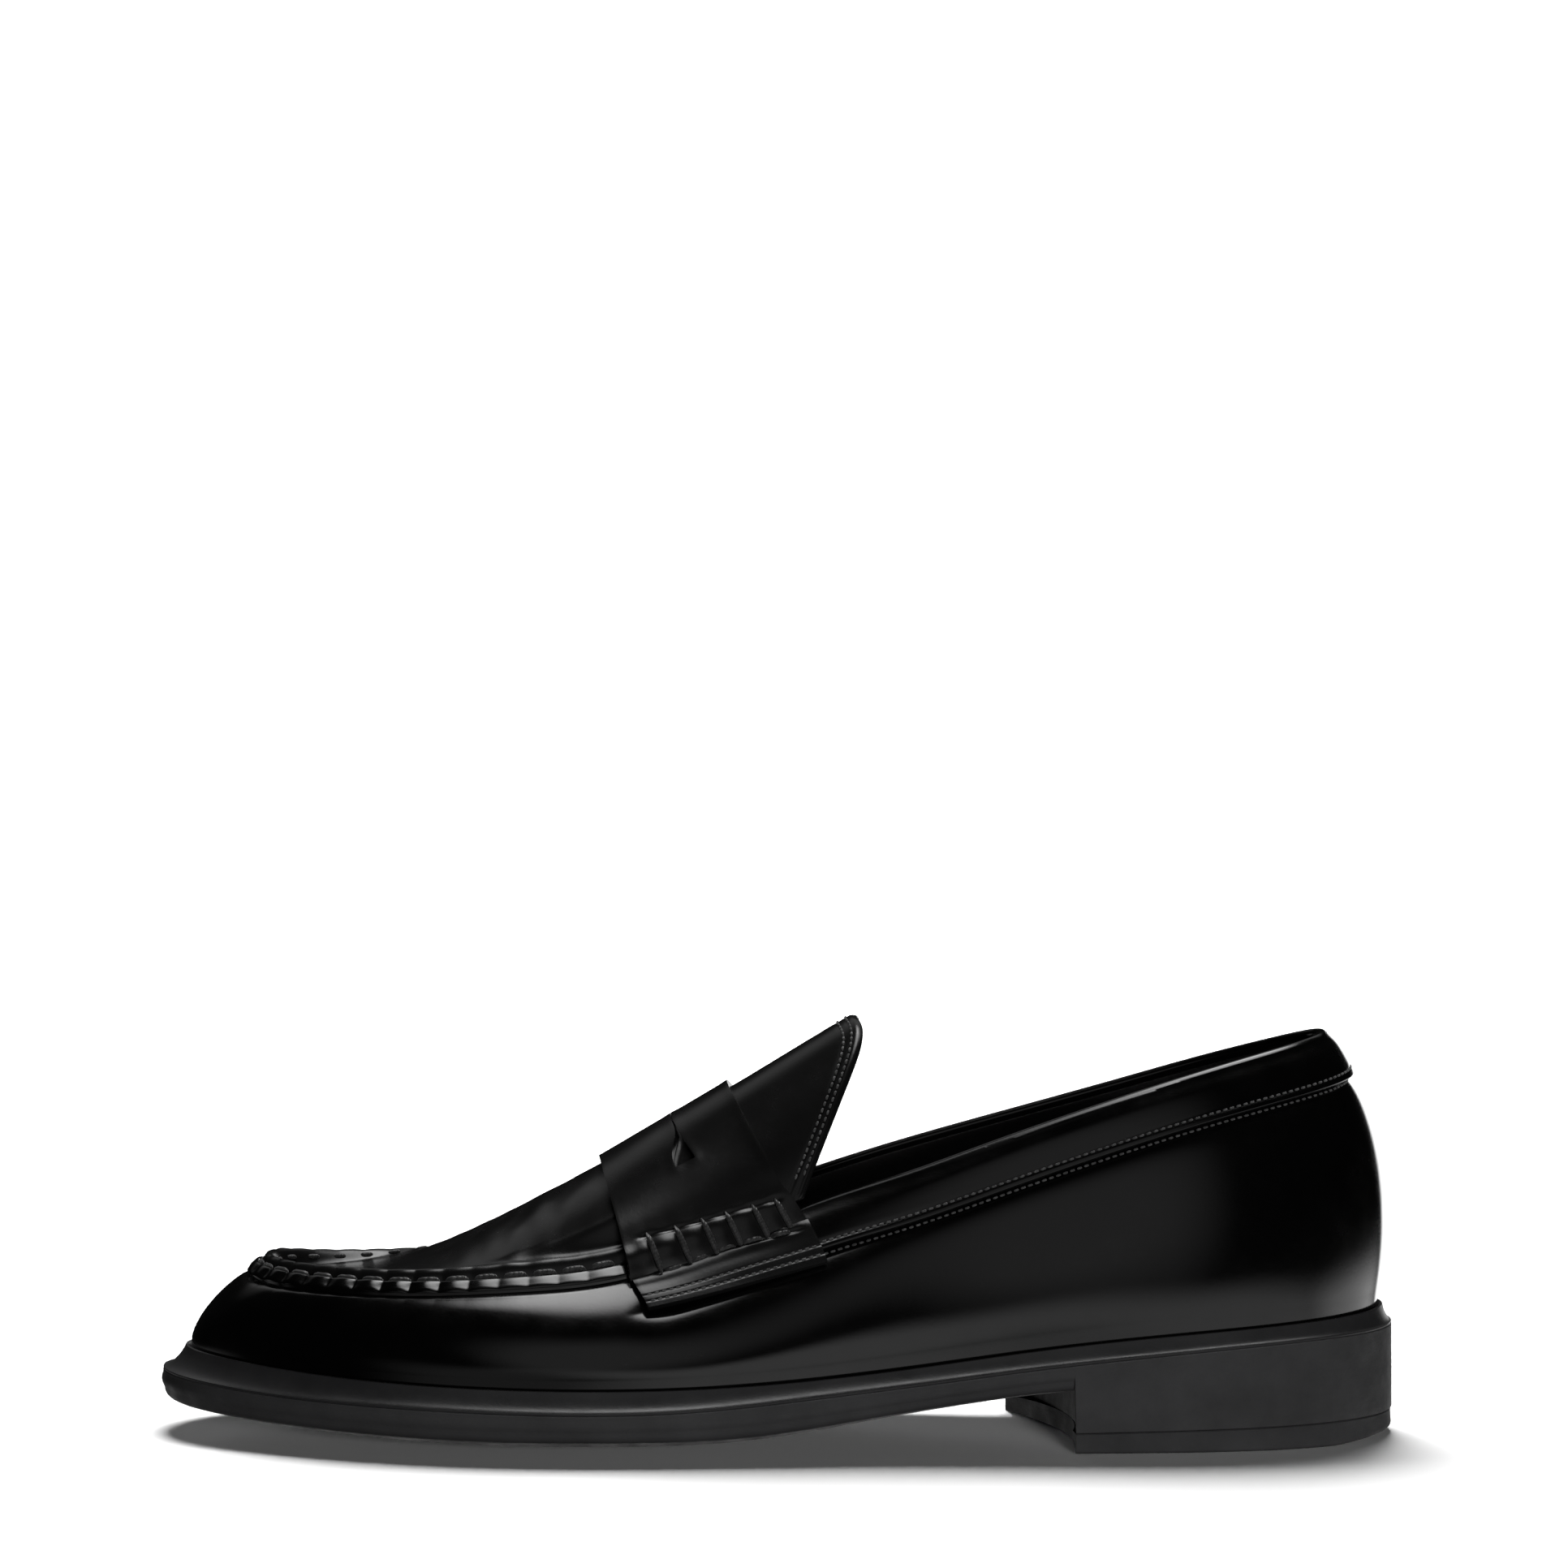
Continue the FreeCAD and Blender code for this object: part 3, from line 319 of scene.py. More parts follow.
# ---------------------------------------------------------------- meshes
def add_piece(name, points, faces, material, sharp_angle=50):
    """A smooth-shaded mesh from points in millimetres."""
    mesh = bpy.data.meshes.new(name)
    mesh.from_pydata((np.asarray(points).reshape(-1, 3) * MM).tolist(), [], faces)
    work = bmesh.new()
    work.from_mesh(mesh)
    bmesh.ops.remove_doubles(work, verts=work.verts, dist=2e-6)
    bmesh.ops.recalc_face_normals(work, faces=work.faces)
    work.to_mesh(mesh)
    work.free()
    mesh.shade_smooth()
    mesh.set_sharp_from_angle(angle=math.radians(sharp_angle))
    mesh.materials.append(material)
    piece = bpy.data.objects.new(name, mesh)
    bpy.context.scene.collection.objects.link(piece)
    return piece


def loop_faces(rows, count, wrap=False, caps=(True, True), start=0):
    """Faces between closed loops of points. A cap joins each point to the one opposite."""
    faces = []
    for r in range(rows if wrap else rows - 1):
        here = start + r * count
        there = start + ((r + 1) % rows) * count
        for c in range(count):
            d = (c + 1) % count
            faces.append((here + c, here + d, there + d, there + c))
    for wanted, first in zip(caps, (start, start + (rows - 1) * count)):
        if wanted and not wrap:
            for c in range(count // 2 - 1):
                faces.append((first + c, first + c + 1, first + count - 2 - c, first + count - 1 - c))
    return faces


def loops_piece(name, loops, material, wrap=False, caps=(True, True), sharp_angle=50):
    """A piece from closed loops of points, one after the other."""
    rows, count = loops.shape[:2]
    return add_piece(name, loops, loop_faces(rows, count, wrap, caps), material, sharp_angle)


def rounded_loops(over, under, fullness=0.35):
    """Closed loops round a sheet between two grids, with its long edges rounded."""
    def edge(top, low, beside_top, beside_low):
        thickness = np.linalg.norm(top - low, axis=-1, keepdims=True)
        away = unit(top - beside_top + low - beside_low) * thickness * fullness
        shares = ((0.1, 0.5), (0.32, 0.95), (0.68, 0.95), (0.9, 0.5))
        return [(mix(top, low, down) + away * out)[:, None] for down, out in shares]
    last = edge(over[:, -1], under[:, -1], over[:, -2], under[:, -2])
    first = edge(under[:, 0], over[:, 0], under[:, 1], over[:, 1])
    return np.concatenate(first[2:] + [over] + last + [under[:, ::-1]] + first[:2], axis=1)


def close_ends(loops, fullness=0.35):
    """Adds narrower loops beyond both ends, so that the cut ends are rounded too."""
    def beyond(loop, inside):
        opposite = loop[::-1]
        thickness = np.linalg.norm(loop - opposite, axis=-1).mean()
        away = unit(loop - inside) * thickness * fullness
        return [mix(loop, opposite, share) + away * out for share, out in ((0.1, 0.5), (0.32, 0.95))]
    start = beyond(loops[0], loops[1])
    end = beyond(loops[-1], loops[-2])
    return np.concatenate([start[1][None], start[0][None], loops, end[0][None], end[1][None]])


def sheet_piece(name, over, under, material):
    """A sheet of leather between two grids, rounded all round."""
    return loops_piece(name, close_ends(rounded_loops(over, under)), material)


def lengths(path):
    """How far along a path each of its points lies."""
    return np.concatenate([[0], np.cumsum(np.linalg.norm(np.diff(path, axis=0), axis=1))])


def along_path(path, length, at):
    """The points of a path at given lengths along it."""
    return np.stack([np.interp(at, length, path[:, i]) for i in range(path.shape[1])], axis=-1)


def stitches(path, normals, pitch, share, width, height, rise, sink):
    """Rounded stitches along a path, each a share of the pitch long and diving at both ends."""
    length = lengths(path)
    at = np.arange(0.5 * pitch, length[-1] - 0.3 * pitch, pitch)
    centre = along_path(path, length, at)
    tangent = unit(along_path(path, length, at + 0.2) - along_path(path, length, at - 0.2))
    normal = unit(along_path(normals, length, at))
    normal = unit(normal - tangent * (normal * tangent).sum(-1, keepdims=True))
    side = np.cross(normal, tangent)
    rings, corners = 9, 8
    x = np.linspace(-1, 1, rings)
    plump = np.sqrt(np.maximum(0.04, 1 - np.abs(x) ** 3.2))
    drop = rise - (rise + sink) * np.abs(x) ** 5
    angle = (np.arange(corners) + 0.5) * 2 * np.pi / corners
    along = tangent[:, None, None] * (x * pitch * share / 2)[None, :, None, None]
    upward = drop[:, None] + plump[:, None] * np.sin(angle) * height / 2
    across = plump[:, None] * np.cos(angle) * width / 2
    return (centre[:, None, None] + along + normal[:, None, None] * upward[None, ..., None]
            + side[:, None, None] * across[None, ..., None])


def fine_stitches(path, normals, sink=0.3):
    """A row in the fine thread of the collar, the tongue and the strap's hems."""
    return stitches(path, normals, FINE_PITCH, 0.78, FINE_THREAD, 0.45, 0.10, sink)


def stitches_piece(name, rows, material):
    """One piece from several rows of stitches."""
    points = []
    faces = []
    start = 0
    for row in rows:
        for stitch in row:
            rings, corners = stitch.shape[:2]
            points.append(stitch.reshape(-1, 3))
            faces += loop_faces(rings, corners, start=start)
            start += rings * corners
    return add_piece(name, np.concatenate(points), faces, material, 80)


# ---------------------------------------------------------------- sole
def sole_stations(stop_at_breast):
    """Pairs of outer and inner places from the heel back, how far past the breast, and the bow."""
    part = crowded(60, 1.2)
    outer = [mix(0, BREAST_OUTER, part)]
    inner = [mix(AROUND, BREAST_INNER, part)]
    past = [np.zeros(60)]
    if not stop_at_breast:
        step = np.linspace(0, 1, 9)[1:]
        outer.append(BREAST_OUTER + 0.02 * step)
        inner.append(BREAST_INNER - 0.02 * step)
        past.append(step)
        part = crowded(121, 1.25)[1:]
        middle = AROUND / 2
        outer.append(mix(BREAST_OUTER + 0.02, middle, part))
        inner.append(mix(BREAST_INNER - 0.02, middle, part))
        past.append(np.ones(120))
    outer, inner, past = (np.concatenate(rows) for rows in (outer, inner, past))
    bow = BREAST_BOW * bump(0, 0.9, outer - BREAST_OUTER)
    return outer, inner, past, bow


def sole_block(name, stop_at_breast, top, low, radius, taper, material):
    """A slab of the sole: flat top, side wall, rounded lower edge.

    top and low are the heights of its faces. The radius of the lower edge and how far the side
    leans in are each given as a pair, behind and ahead of the breast.
    """
    outer_s, inner_s, past, bow = sole_stations(stop_at_breast)
    turns = np.linspace(0, math.pi / 2, 6)[1:]

    def down_side(s):
        edge = feather(s, sole_reach(s))
        side = outward(s)
        x, y = edge[:, 0], edge[:, 1]
        high = top(x)
        foot = low(x, y, past)
        turn_radius = np.minimum(mix(*radius, past), (high - foot) * 0.4)
        into = mix(*taper, past)
        swell = 0.45 * past
        rows = [(6.0, high), (0.25, high), (0.0, high - 0.25), (0.0, high - 0.8)]
        rows += [(into * part - swell * math.sin(math.pi * part), mix(high - 0.8, foot + turn_radius, part))
                 for part in (0.15, 0.3, 0.45, 0.6, 0.75, 0.9, 1.0)]
        rows += [(into + turn_radius * (1 - math.cos(turn)), foot + turn_radius * (1 - math.sin(turn)))
                 for turn in turns]
        line = []
        for inset, height in rows:
            at = edge - side * np.broadcast_to(inset, x.shape)[:, None]
            at[:, 2] = height
            line.append(at)
        return np.stack(line, axis=1)

    outer = down_side(outer_s)
    inner = down_side(inner_s)
    floor = fill_between(outer[:, -1], inner[:, -1], 24)
    lid = fill_between(outer[:, 0], inner[:, 0], 24)
    share = np.linspace(0, 1, 26)[1:-1]
    for middle in (floor, lid):
        middle[..., 0] += bow[:, None] * 4 * share * (1 - share)
    floor[..., 2] = low(floor[..., 0], floor[..., 1], past[:, None])
    lid[..., 2] = top(lid[..., 0])
    loops = np.concatenate([outer, floor, inner[:, ::-1], lid[:, ::-1]], axis=1)
    loops = np.roll(loops, -outer.shape[1] // 2, axis=1)
    return loops_piece(name, loops, material, caps=(False, stop_at_breast), sharp_angle=38)


def sole_underside(x, y, past):
    """The lower face of the sole unit: over the top lift behind the breast, the tread ahead."""
    seat = lift_top(x) + 0.12
    return mix(seat, tread(x, y), past)


def lift_underside(x, y, past):
    """The floor, from which the lift turns up at its back end."""
    return np.maximum(0.0, (LIFT_TURN_FROM - x) * LIFT_TURN_SLOPE)


def make_sole_unit():
    """Tread, side wall and heel, moulded in one."""
    piece = sole_block("sole_unit", False, ridge_height, sole_underside, (0.35, 3.25), (-0.3, 0.3),
                       sole_rubber)
    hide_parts("outsole_unit")
    return piece


def make_heel_lift():
    """The replaceable lift under the heel."""
    piece = sole_block("heel_lift", True, lift_top, lift_underside, (0.9, 0.9), (-0.2, -0.2),
                       lift_rubber)
    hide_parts("top_lift")
    return piece


# ---------------------------------------------------------------- welt
def make_welt():
    """A cove-shaped ring between the upper and the sole's ridge."""
    s = np.arange(0, AROUND, 0.1)
    reach = sole_reach(s) - 0.1
    lip = ((-3.0, -1.9), (-0.6, -1.9), (0.35, -1.0), (0.45, 0.1), (0.8, 0.42), (WELT_LIP, 0.3))
    over = [feather(s, out, up) for out, up in lip]
    ridge_level = ridge_height(feather(s, reach)[:, 0]) + 0.12
    for part in np.linspace(0.12, 1.0, 10):
        at = feather(s, mix(WELT_LIP, reach, part))
        low = ridge_level + 0.45
        at[:, 2] = mix(at[:, 2] + 0.3, low, np.sin(part * math.pi / 2) ** 0.8)
        over.append(at)
    edge = feather(s, reach + 0.05)
    edge[:, 2] = ridge_level + 0.2
    over.append(edge)
    under = []
    for out in (0.0, 1.5, 3.0):
        at = feather(s, reach - out)
        at[:, 2] = ridge_level
        under.append(at)
    at = feather(s, -3.0)
    at[:, 2] = ridge_height(at[:, 0]) + 0.12
    under.append(at)
    loops = np.stack(over + under, axis=1)
    piece = loops_piece("welt_cove", loops, welt_rubber, wrap=True)
    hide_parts("welt")
    return piece


# ---------------------------------------------------------------- seam of the forepart
# At each place: how high above the groove the outer roll, the thread and the plug's ridge stand.
SEAM = Curve([(8.4, 3.2, 4.6, 6.4), (9.4, 3.1, 4.2, 6.0), (10.3, 3.0, 3.8, 5.5), (11.5, 3.0, 3.5, 4.9),
              (13.0, 3.0, 3.4, 4.7), (14.2, 3.0, 3.3, 4.5), (15.2, 2.9, 3.1, 4.3), (16.2, 2.8, 2.9, 4.1),
              (17.2, 2.8, 2.5, 3.5), (19.0, 2.9, 2.3, 3.1), (20.4, 3.1, 2.6, 3.2), (21.6, 3.2, 3.2, 3.7)],
             by_x=True)
SEAM_FROM = OUTER_STRAP_FRONT + 0.12
SEAM_TO = INNER_STRAP_FRONT - 0.12

seam_places = np.linspace(SEAM_FROM, SEAM_TO, 1200)


def seam_point(s, inset, rise):
    """A point inward of and above the groove at the top edge of the wall."""
    at = top_edge(s) - outward(s) * np.asarray(inset, float)[..., None]
    return at + UP * np.asarray(rise, float)[..., None]


seam_length = lengths(seam_point(seam_places, THREAD_INSET, 0.0))


def stitch_phase(s):
    """Counts the stitches of the seam: whole numbers at their middles."""
    return np.interp(s, seam_places, seam_length) / COARSE_PITCH - 0.5


def pleat(s):
    """1 in the middle of each stitch and 0 between two, on the seam only."""
    return np.sqrt(0.5 + 0.5 * np.cos(2 * math.pi * stitch_phase(s)))


def pleating(s):
    """How deep the pleats are: deepest round the toe, faint beside the strap."""
    outer_side = 0.25 + 0.75 * ease(10.0, 11.8, s)
    inner_side = (1 - 0.5 * ease(17.5, 20.5, s)) * (1 - ease(20.5, 21.2, s))
    return outer_side * inner_side


def seam_share(s):
    """1 where the wall's top edge is rolled into the seam, 0 towards the heel."""
    begun = ease(OUTER_STRAP_FRONT - 0.5, OUTER_STRAP_FRONT + 0.1, s)
    ended = ease(INNER_STRAP_FRONT - 0.1, INNER_STRAP_FRONT + 0.5, s)
    return begun * (1 - ended)


# The rolled edge as it climbs out of the groove: inward and up, as shares of its height.
ROLL_PATH = [(0.13, 0.01), (0.0, 0.06), (0.0, 0.15), (0.08, 0.27), (0.20, 0.39), (0.33, 0.52),
             (0.46, 0.65), (0.59, 0.77), (0.71, 0.86), (0.82, 0.85), (0.91, 0.70)]
# How much the roll swells between the stitches.
PUCKER = 0.55
# The margin of the skirt that is lasted under the foot: outward and up from the feather edge,
# for the leather's outer and inner face.
MARGIN_OUTER = [(-13.0, 0.0), (-8.0, 0.0), (-4.0, 0.0), (-1.6, 0.05), (-0.6, 0.4), (-0.15, 1.0),
                (0.0, 1.8)]
MARGIN_INNER = [(-13.0, 1.3), (-8.0, 1.35), (-4.0, 1.4), (-2.4, 1.5), (-1.8, 1.8), (-1.5, 2.2),
                (-1.42, 2.6)]


def make_skirt():
    """The wall of the upper in one, from its lasted margin up to the rolled edge of the seam."""
    seam_part = np.arange(8.8, 21.2, 0.02)
    s = np.concatenate([np.arange(0, 8.8, 0.05), seam_part, np.arange(21.2, AROUND, 0.05)])
    in_seam = seam_share(s)
    share = in_seam[:, None]
    side = outward(s)
    outer = [feather(s, out, up - LASTING_DROP) for out, up in MARGIN_OUTER]
    inner = [feather(s, out, up - LASTING_DROP) for out, up in MARGIN_INNER]
    top = top_edge(s)
    for t in crowded(56, 1.25, 0.03):
        gap = np.linalg.norm(wall_face(s, t) - top, axis=-1)
        fold = -0.75 * bump(0, 1.3, gap) * in_seam
        # The leather is drawn in at each stitch, which leaves soft flutes below the groove.
        flute = 0.05 * (pleat(s) - 0.5) * bump(0, 5.0, gap) * pleating(s) * in_seam
        dip = collar_dip(gap) * (1 - in_seam)
        outer.append(wall(s, t, fold + flute + dip + wall_waves(s, t)))
        inner.append(wall(s, t, -UPPER_LEATHER))
    roll, thread, _ = np.moveaxis(SEAM(s), -1, 0)
    pucker = PUCKER * (pleat(s) - 0.6) * pleating(s)
    edge = inner[-1]
    for i, (into, up) in enumerate(ROLL_PATH):
        swell = pucker * math.sin(math.pi * (i + 0.5) / len(ROLL_PATH))
        full = top - side * (into * roll - swell)[:, None] + UP * (up * roll + swell)[:, None]
        flat = mix(top, edge, (i + 1) / (len(ROLL_PATH) + 2))
        outer.append(mix(flat, full, share))
    floor = np.minimum(thread - 1.0, roll * 0.6)
    outer.append(mix(mix(top, edge, 0.93), seam_point(s, 3.05, floor), share))
    inner.append(mix(mix(edge, top, 0.02), seam_point(s, 3.0, floor - 1.2), share))
    loops = np.stack(outer + inner[::-1], axis=1)
    piece = loops_piece("skirt_leather", loops, leather, wrap=True)
    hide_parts("skirt")
    return piece


def collar_dip(gap):
    """How the leather is drawn in under the collar's seam, at a way below the top edge."""
    return -1.5 * np.exp(-np.abs(gap - COLLAR_DEPTH) / 3.2)


def wall_waves(s, t):
    """Faint undulations of lasted leather, so that reflections are not machine-made."""
    phase = 2 * math.pi * s / AROUND
    wave = np.sin(5 * phase + 1.3 + 2 * t) * np.cos(3.1 * t + 2 * phase)
    wave += 0.6 * np.sin(13 * phase + 5.0 * t) * np.sin(2.3 * t + 0.4)
    return 0.10 * wave * ease(0.0, 0.25, t) * (1 - ease(0.75, 1.0, t))


# ---------------------------------------------------------------- plug
def cover_place(x, y):
    """The row and the place across, on the top of the forepart, above x and y."""
    u = np.interp(-x, [-row[0] for row in COVER], np.arange(len(COVER)))
    v = np.clip(y / -36.0, -1, 1)
    for _ in range(7):
        here = cover_face(u, v)
        by_u = (cover_face(u + 0.02, v) - here) / 0.02
        by_v = (cover_face(u, v + 0.02) - here) / 0.02
        miss_x, miss_y = x - here[..., 0], y - here[..., 1]
        scale = by_u[..., 0] * by_v[..., 1] - by_u[..., 1] * by_v[..., 0]
        scale = np.where(np.abs(scale) < 1e-6, 1e-6, scale)
        u = np.clip(u + (miss_x * by_v[..., 1] - miss_y * by_v[..., 0]) / scale, 0.0, 12.0)
        v = np.clip(v + (miss_y * by_u[..., 0] - miss_x * by_u[..., 1]) / scale, -1.15, 1.15)
    return u, v


def toe_hollow(x):
    """How far the plug lies below the rows of the forepart, near the toe."""
    return 1.1 * ease(64.0, 90.0, x)


def plug_height(x, y):
    """The height of the plug inside its ridge."""
    u, v = cover_place(x, y)
    return cover_face(u, v)[..., 2] - toe_hollow(x)


# Ways inward from the plug's edge, closer together over the ridge.
PLUG_BAND = (0.0, 0.35, 0.75, 1.2, 1.7, 2.2, 2.7, 3.1, 3.5, 3.9, 4.3, 4.8, 5.4, 6.2, 7.4, 8.8)
# The plug ends under the strap, at this round place and at its mirror on the inner side.
PLUG_END_PLACE = 8.15


def plug_band(s):
    """Lines running inward from the plug's edge at places s, over its ridge."""
    _, thread, ridge = np.moveaxis(SEAM(s), -1, 0)
    share = seam_share(s)
    swell = pleat(s) * pleating(s) * share
    crest = ridge + 0.15 * (swell - 0.4) * pleating(s)
    groove = top_edge(s)[:, 2]
    rows = []
    for inward in PLUG_BAND:
        at = seam_point(s, PLUG_INSET + inward - 0.5 * swell * bump(0.9, 1.3, inward), 0.0)
        flat = plug_height(at[:, 0], at[:, 1])
        lip = groove + mix(thread - 1.2, crest, math.sin(min(1.0, inward / 1.9) * math.pi / 2) ** 0.8)
        level = mix(lip, flat, ease(1.8, 5.4, inward))
        at[:, 2] = mix(flat, level, share)
        rows.append(at)
    return np.stack(rows, axis=1)


def plug_creases(x, y):
    """Fine creases across the plug where the foot bends."""
    _, v = cover_place(x, y)
    where = bump(59, 15, x) * (1 - bump(0, 0.25, np.abs(v) - 1.0))
    drift = 1.6 * np.sin(y * 0.13 + 0.6) + 0.8 * np.sin(y * 0.31)
    crease = np.sin((x + drift) * 0.62) * np.sin(y * 0.11 + x * 0.07)
    crease += 0.6 * np.sin((x - drift) * 1.07 + 1.1) * np.cos(y * 0.17)
    return 0.16 * where * crease


def make_plug():
    """The raised top of the forepart, from the toe to under the strap."""
    part = crowded(300, 1.15)
    middle = AROUND / 2
    outer = plug_band(mix(PLUG_END_PLACE, middle, part))
    inner = plug_band(mix(AROUND - PLUG_END_PLACE, middle, part))
    inside = fill_between(outer[:, -1], inner[:, -1], 60)
    inside[..., 2] = plug_height(inside[..., 0], inside[..., 1])
    over = np.concatenate([outer, inside, inner[:, ::-1]], axis=1)
    over[..., 2] += plug_creases(over[..., 0], over[..., 1])
    under = over - UP * UPPER_LEATHER
    # The leather is thicker where it is folded up beside the thread.
    under[:, :4] -= UP * 0.4
    under[:, -4:] -= UP * 0.4
    loops = rounded_loops(over, under, 0.1)
    piece = loops_piece("apron_plug_leather", loops, soft_leather, caps=(True, False))
    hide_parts("apron_plug")
    return piece


def make_seam_thread():
    """The coarse waxed thread, lying in long stitches in the valley of the seam."""
    _, thread, _ = np.moveaxis(SEAM(seam_places), -1, 0)
    path = seam_point(seam_places, THREAD_INSET, thread)
    tilt = unit(UP + outward(seam_places) * 0.35)
    row = stitches(path, tilt, COARSE_PITCH, 0.90, COARSE_THREAD, 0.8 * COARSE_THREAD, -0.8, 1.6)
    # The same thread shows again at the foot of the ridge, on the plug's side.
    band = plug_band(np.linspace(12.2, 19.4, 500))
    foot = PLUG_BAND.index(3.5)
    facing = unit(np.cross(band[:, foot + 1] - band[:, foot - 1], np.gradient(band[:, foot], axis=0)))
    facing *= np.sign(facing[:, 2:])
    back_row = stitches(band[:, foot], facing, COARSE_PITCH, 0.55, 1.1, 0.9, 0.10, 0.7)
    piece = stitches_piece("seam_thread", [row, back_row], thread_coarse)
    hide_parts("apron_seam_thread")
    return piece


# ---------------------------------------------------------------- saddle strap
# The strap's front and rear edge: hem place s, hem height t, seam place s, far seam place,
# far hem place, row of the cover.
STRAP_FRONT = np.array([8.68, 0.64, OUTER_STRAP_FRONT, INNER_STRAP_FRONT, 21.32, STRAP_FRONT_ROW])
STRAP_REAR = np.array([6.90, 0.655, OUTER_STRAP_REAR + 0.12, INNER_STRAP_REAR - 0.12, 23.10,
                       STRAP_REAR_ROW])
# Across the strap, k counts steps: up the outer side to the top, over it, down the inner side.
STRAP_SIDE = 8
STRAP_TOP = 16
STRAP_LAST = STRAP_SIDE + STRAP_TOP + STRAP_SIDE
STRAP_TOP_HALF = 0.86
# Half of the penny slot: v away from the middle, its front and rear edge as shares of the
# strap's width. It is nearly closed in the middle and widens to its end.
SLOT_REACH = 0.53
PENNY_SLOT = Curve([(0.0, 0.559, 0.564), (0.13, 0.557, 0.566), (0.31, 0.542, 0.578), (0.44, 0.480, 0.592),
                    (SLOT_REACH, 0.470, 0.605)], by_x=True)
# The bars of the ladder as shares of the strap's width, and the hem's stitch rows as steps k.
LADDER = (0.167, 0.333, 0.483, 0.617, 0.767, 0.90)
HEM_ROWS = (1.0, 2.1)


def strap_row(u):
    """Points of the upper under the strap, across it, for shares u from front to rear edge."""
    edges = mix(STRAP_FRONT, STRAP_REAR, u[:, None])
    hem, hem_t, place, far_place, far_hem, row = np.moveaxis(edges, -1, 0)
    side, far = [], []
    for up in np.linspace(0, 1, STRAP_SIDE - 1):
        t = mix(hem_t, 0.95, up)
        side.append(wall(mix(hem, place, up), t))
        far.append(wall(mix(far_hem, far_place, up), t))
    top = [cover(row, v) for v in np.linspace(-STRAP_TOP_HALF, STRAP_TOP_HALF, STRAP_TOP + 1)]
    rise = (1.3 - 0.5 * u)[:, None]
    crest = (side[-1] + top[0]) / 2 + rise * np.array([0, 0.8, 0.6])
    far_crest = (far[-1] + top[-1]) / 2 + rise * np.array([0, -0.8, 0.6])
    return np.stack(side + [crest] + top + [far_crest] + far[::-1], axis=1)


class StrapFace:
    """The strap's under face as a smooth function of u (front 0, rear 1) and k across."""

    def __init__(self):
        self.us = np.linspace(0, 1, 41)
        self.across = Curve(np.moveaxis(strap_row(self.us), 0, 1).reshape(STRAP_LAST + 1, -1))

    def __call__(self, u, k):
        u, k = np.broadcast_arrays(np.asarray(u, float), np.asarray(k, float))
        rows = self.across(k).reshape(k.shape + (len(self.us), 3))
        place = np.clip(u, 0, 1) * (len(self.us) - 1)
        i = np.clip(place.astype(int), 0, len(self.us) - 2)
        low = np.take_along_axis(rows, i[..., None, None], axis=-2)[..., 0, :]
        high = np.take_along_axis(rows, i[..., None, None] + 1, axis=-2)[..., 0, :]
        return mix(low, high, (place - i)[..., None])

    def normal(self, u, k):
        along = self(np.clip(u + 0.02, 0, 1), k) - self(np.clip(u - 0.02, 0, 1), k)
        across = self(u, np.clip(k + 0.1, 0, STRAP_LAST)) - self(u, np.clip(k - 0.1, 0, STRAP_LAST))
        return unit(np.cross(along, across))


strap_face = StrapFace()


def ladder_reach(u):
    """Where across the strap the ladder's bars start and end, at share u of its width."""
    return 6.0 - 1.9 * (u - 0.17), 8.2 - 1.2 * (u - 0.17)


def strap_height(u, k):
    """Height of the strap's top face above the upper, with the leather's bulges and tucks."""
    near = np.minimum(k, STRAP_LAST - k)
    low, high = ladder_reach(u)
    middle = (low + high) / 2
    drawn = sum(bump(bar, 0.045, u) for bar in LADDER)
    band = bump(0, 1.15, near - middle) * ease(0.06, 0.18, u) * (1 - ease(0.90, 1.0, u))
    height = STRAP_LIFT + STRAP_LEATHER + 0.30 * band * (1 - 1.4 * drawn) + 0.20 * band
    # The tuck along the tops of the bars, and the soft groove where the side turns down.
    stitched = ease(0.08, 0.16, u) * (1 - ease(0.91, 0.97, u))
    height = height - 0.55 * bump(0, 0.14, near - high - 0.02) * (0.4 + 0.6 * drawn) * stitched
    height = height - 0.35 * bump(0, 0.22, near - low) * stitched
    for hem in HEM_ROWS:
        height = height - 0.16 * bump(hem, 0.12, near)
    height = height + 0.10 * ease(0.93, 1.0, u) * ease(7.0, 9.0, near)
    return height + 0.05 * np.sin(9 * u + 0.9 * k) * np.sin(0.7 * k)


